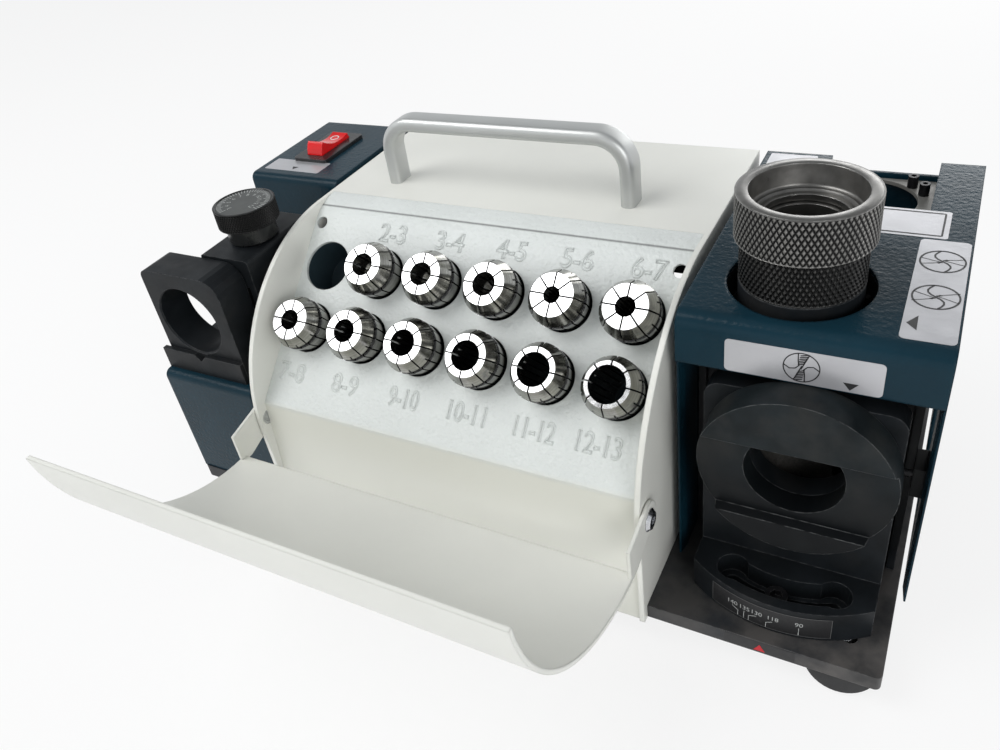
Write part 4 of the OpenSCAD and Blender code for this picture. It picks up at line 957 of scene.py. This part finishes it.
def right_labels():
    """Silver labels on the right housing, bare or with drill-tip signs and arrows."""
    film("side_label", 131.7, -0.6, 146.2, 55.5, 1.6, HOUSING_TOPS)
    sign_x, sign_r, rear_y, front_y = 139.0, 6.3, 42.6, 22.2
    thick, fine = [], []
    for cy, spread in ((rear_y, 0.30), (front_y, 0.42)):
        lines = drill_tip_sign(sign_x, cy, sign_r, spread)
        thick += lines[0]
        fine += lines[1]
    signs("side_label_signs", thick, 0.55, HOUSING_TOPS)
    signs("side_label_lines", fine, 0.26, HOUSING_TOPS, GREY_INK)
    corners = ((0.1, 0.2), (1.7, 1.0), (0.9, 1.4))
    for k, cy in enumerate((rear_y, front_y)):
        for side in (1, -1):
            wedge = [(sign_x + side * x, cy + side * y) for x, y in corners]
            triangle(f"side_label_wedge_{k}_{side + 1}", wedge, HOUSING_TOPS)
    triangle("side_label_arrow", [(132.9, 7.2), (135.8, 4.1), (135.6, 11.4)], HOUSING_TOPS)
    film("bare_label", 96, 56.6, 139.2, 75.0, 0.8, HOUSING_TOPS)
    border = rounded_outline(97.6, 58.2, 137.4, 73.4, 0.5)
    signs("bare_label_frame", [border + border[:1]], 0.6, HOUSING_TOPS)
    film("rear_bare_label", 72.5, 98, 90, 111, 0.8, HOUSING_TOPS)
    front = Plane((0, FASCIA_Y, 0), X, Z)
    film("fascia_label", 85.9, 106.4, 130.5, 118.1, 1.4, front)
    signs("fascia_label_sign", fascia_sign(108.2, 112.2, 5.1), 0.34, front)
    triangle("fascia_label_arrow", [(119.8, 109.6), (121.8, 107.1), (124.0, 109.6)], front)


def left_label():
    """A bare silver label beside the gauge, with an arrow."""
    film("gauge_label", -144, 56.3, -113.4, 67, 0.8, HOUSING_TOPS)
    triangle("gauge_label_arrow", [(-130.3, 60.4), (-128.7, 58.0), (-127.1, 60.4)], HOUSING_TOPS)


def switch_signs():
    """A ring on the off half of the hollow-faced rocker and a bar on the on half."""
    tilt = math.radians(-10)
    reach = (high("switch_rocker").y - low("switch_rocker").y) / 2
    lip, centre_h, hollow = 1.2, 3.4, 20.5
    half_l = reach / math.cos(tilt) - lip
    middle = Vector((centre_of("switch_rocker").x, centre_of("switch_body").y, BODY_TOP))
    along = Vector((0, math.cos(tilt), math.sin(tilt)))
    square = Vector((0, -math.sin(tilt), math.cos(tilt)))
    offset = 0.5 * half_l
    rise = math.asin(offset / hollow)
    height = centre_h + hollow * (1 - math.cos(rise)) + 0.06
    for name, side, lines in (
        ("rocker_ring", 1, [circle(0, 0, 1.9, 24)]),
        ("rocker_bar", -1, [[(0, -1.8), (0, 1.8)]]),
    ):
        spot = middle + along * side * offset + square * height
        face = Plane(spot, X, along * math.cos(rise) + square * math.sin(side * rise))
        drawing(name, lines, 0.5, face, "rocker", WHITE_INK, 0.0, 0.06)


def scale_label():
    """The angle scale on the carriage's curved front: black film, numbers and leader lines."""
    drum = Drum(STATION, CARRIAGE_R)
    left, right, foot, head, steps = -22.6, 18.0, 16.2, 25.6, 24
    outline = [(left + (right - left) * k / steps, foot) for k in range(steps + 1)]
    outline += [(right - (right - left) * k / steps, head) for k in range(steps + 1)]
    n = len(outline)
    points = [drum.at(u, v, out) for out in (0.02, FILM) for u, v in outline]
    faces = [(i, i + 1, n - 2 - i, n - 1 - i) for i in range(steps)]
    faces = [tuple(reversed(f)) for f in faces] + [tuple(n + k for k in f) for f in faces]
    faces += [(i, (i + 1) % n, n + (i + 1) % n, n + i) for i in range(n)]
    steel, ink_top = "blackened_steel", 0.14
    piece("scale_film", points, faces, "station", BLACK_INK)
    degree = math.radians(1) * CARRIAGE_R
    numbers = (
        (140, -17.0, -14.4), (135, -11.8, -11.9), (130, -6.9, -9.9), (118, -0.6, -3.0),
        (90, 9.2, 9.3),
    )
    items, leaders = [], []
    for value, words_at, tick_at in numbers:
        words_u, tick_u = words_at * degree, tick_at * degree
        items.append((str(value), 2.7, words_u, 21.6, 0))
        leaders.append([(words_u, 20.0), (tick_u, 18.8), (tick_u, 16.4)])
    print_words("scale_numbers", items, drum, "station", PALE_INK, ink_top)
    drawing("scale_lines", leaders, 0.22, drum, "station", PALE_INK, INK_BOTTOM, ink_top)
    border = [outline + outline[:1]]
    drawing("scale_frame", border, 0.2, drum, "station", GREY_INK, INK_BOTTOM, ink_top)


def index_sticker():
    """The red arrow on the base plate's front that the angle scale is read against."""
    front = Plane((0, low("base_plate").y, 0), X, Z)
    film("index_film", 94.7, 9.5, 118, 14.6, 0.4, front, BLACK_INK)
    triangle("index_arrow", [(104.6, 10.0), (108.4, 10.0), (106.5, 13.2)], front, RED_INK)


# ---- Stage, light and camera ----

def stage():
    """A pale floor just under the feet. Seen directly or in a mirror it glows, so it stays even."""
    bpy.ops.mesh.primitive_plane_add(size=6, location=(0, 0, -0.0004))
    floor = bpy.context.object
    floor.name = "floor"
    glow_share = 0.82
    s = Shader("floor", (0.86, 0.86, 0.86), 0.9)
    rays = s.add("ShaderNodeLightPath").outputs
    seen = s.maths("MAXIMUM", rays["Is Camera Ray"], rays["Is Transmission Ray"])
    seen = s.maths("MAXIMUM", seen, rays["Is Glossy Ray"])
    glow = s.add("ShaderNodeEmission")
    mix = s.add("ShaderNodeMixShader")
    s.join(s.maths("MULTIPLY", seen, glow_share), mix.inputs["Fac"])
    s.join(s.bsdf.outputs["BSDF"], mix.inputs[1])
    s.join(glow.outputs["Emission"], mix.inputs[2])
    s.join(mix.outputs["Shader"], s.tree.nodes["Material Output"].inputs["Surface"])
    floor.data.materials.append(s.material)


def world():
    """A studio with bright walls round the object and a dimmer ceiling."""
    scene_world = bpy.data.worlds.new("studio")
    bpy.context.scene.world = scene_world
    scene_world.use_nodes = True
    tree = scene_world.node_tree
    background = tree.nodes["Background"]
    direction = tree.nodes.new("ShaderNodeTexCoord")
    split = tree.nodes.new("ShaderNodeSeparateXYZ")
    ramp = tree.nodes.new("ShaderNodeValToRGB")
    stops = ramp.color_ramp.elements
    below, overhead = (0.86, 0.88, 0.90, 1), (0.40, 0.415, 0.43, 1)
    stops[0].position, stops[0].color = 0.0, below
    stops[1].position, stops[1].color = 1.0, overhead
    for height, level in ((0.42, 0.80), (0.58, 0.27)):
        stops.new(height).color = (level * 0.97, level, level * 1.03, 1)
    tree.links.new(direction.outputs["Generated"], split.inputs["Vector"])
    tree.links.new(split.outputs["Z"], ramp.inputs["Fac"])
    tree.links.new(ramp.outputs["Color"], background.inputs["Color"])


def softbox(name, place, target, width, height, power):
    light = bpy.data.lights.new(name, "AREA")
    light.shape = "RECTANGLE"
    light.size, light.size_y, light.energy = width, height, power
    lamp = bpy.data.objects.new(name, light)
    lamp.location = place
    lamp.rotation_euler = (Vector(target) - Vector(place)).to_track_quat("-Z", "Y").to_euler()
    show(lamp)


def lights():
    softbox("key", (-0.55, -0.35, 0.95), (0, 0, 0.08), 0.7, 0.7, 5.8)
    softbox("fill", (0.85, -0.75, 0.55), (0, 0, 0.06), 0.6, 0.6, 3.9)
    softbox("back", (0.15, 1.1, 0.42), (0, 0, 0.1), 0.7, 0.35, 2.5)


def camera():
    """Camera at the photograph's place: azimuth, elevation, roll, focal length and shift."""
    azimuth, elevation, roll = map(math.radians, (32.68, 34.93, -9.34))
    data = bpy.data.cameras.new("camera")
    data.lens = 30.93
    data.sensor_width = 36
    data.shift_x = 0.0030
    data.shift_y = -0.0357
    data.clip_start = 0.01
    obj = bpy.data.objects.new("camera", data)
    level = math.cos(elevation)
    forward = Vector((-math.sin(azimuth) * level, math.cos(azimuth) * level, -math.sin(elevation)))
    facing = forward.to_track_quat("-Z", "Y") @ Matrix.Rotation(roll, 4, "Z").to_quaternion()
    obj.rotation_mode = "QUATERNION"
    obj.rotation_quaternion = facing
    obj.location = Vector((139.24, -213.0, 272.55)) * MM
    bpy.context.scene.camera = show(obj)


camera()
stage()
world()
lights()
dress_cad()
chuck_cap()
chuck_body()
dial()
handle()
tray_numbers()
right_labels()
left_label()
switch_signs()
scale_label()
index_sticker()

bpy.context.scene.view_settings.view_transform = "Standard"
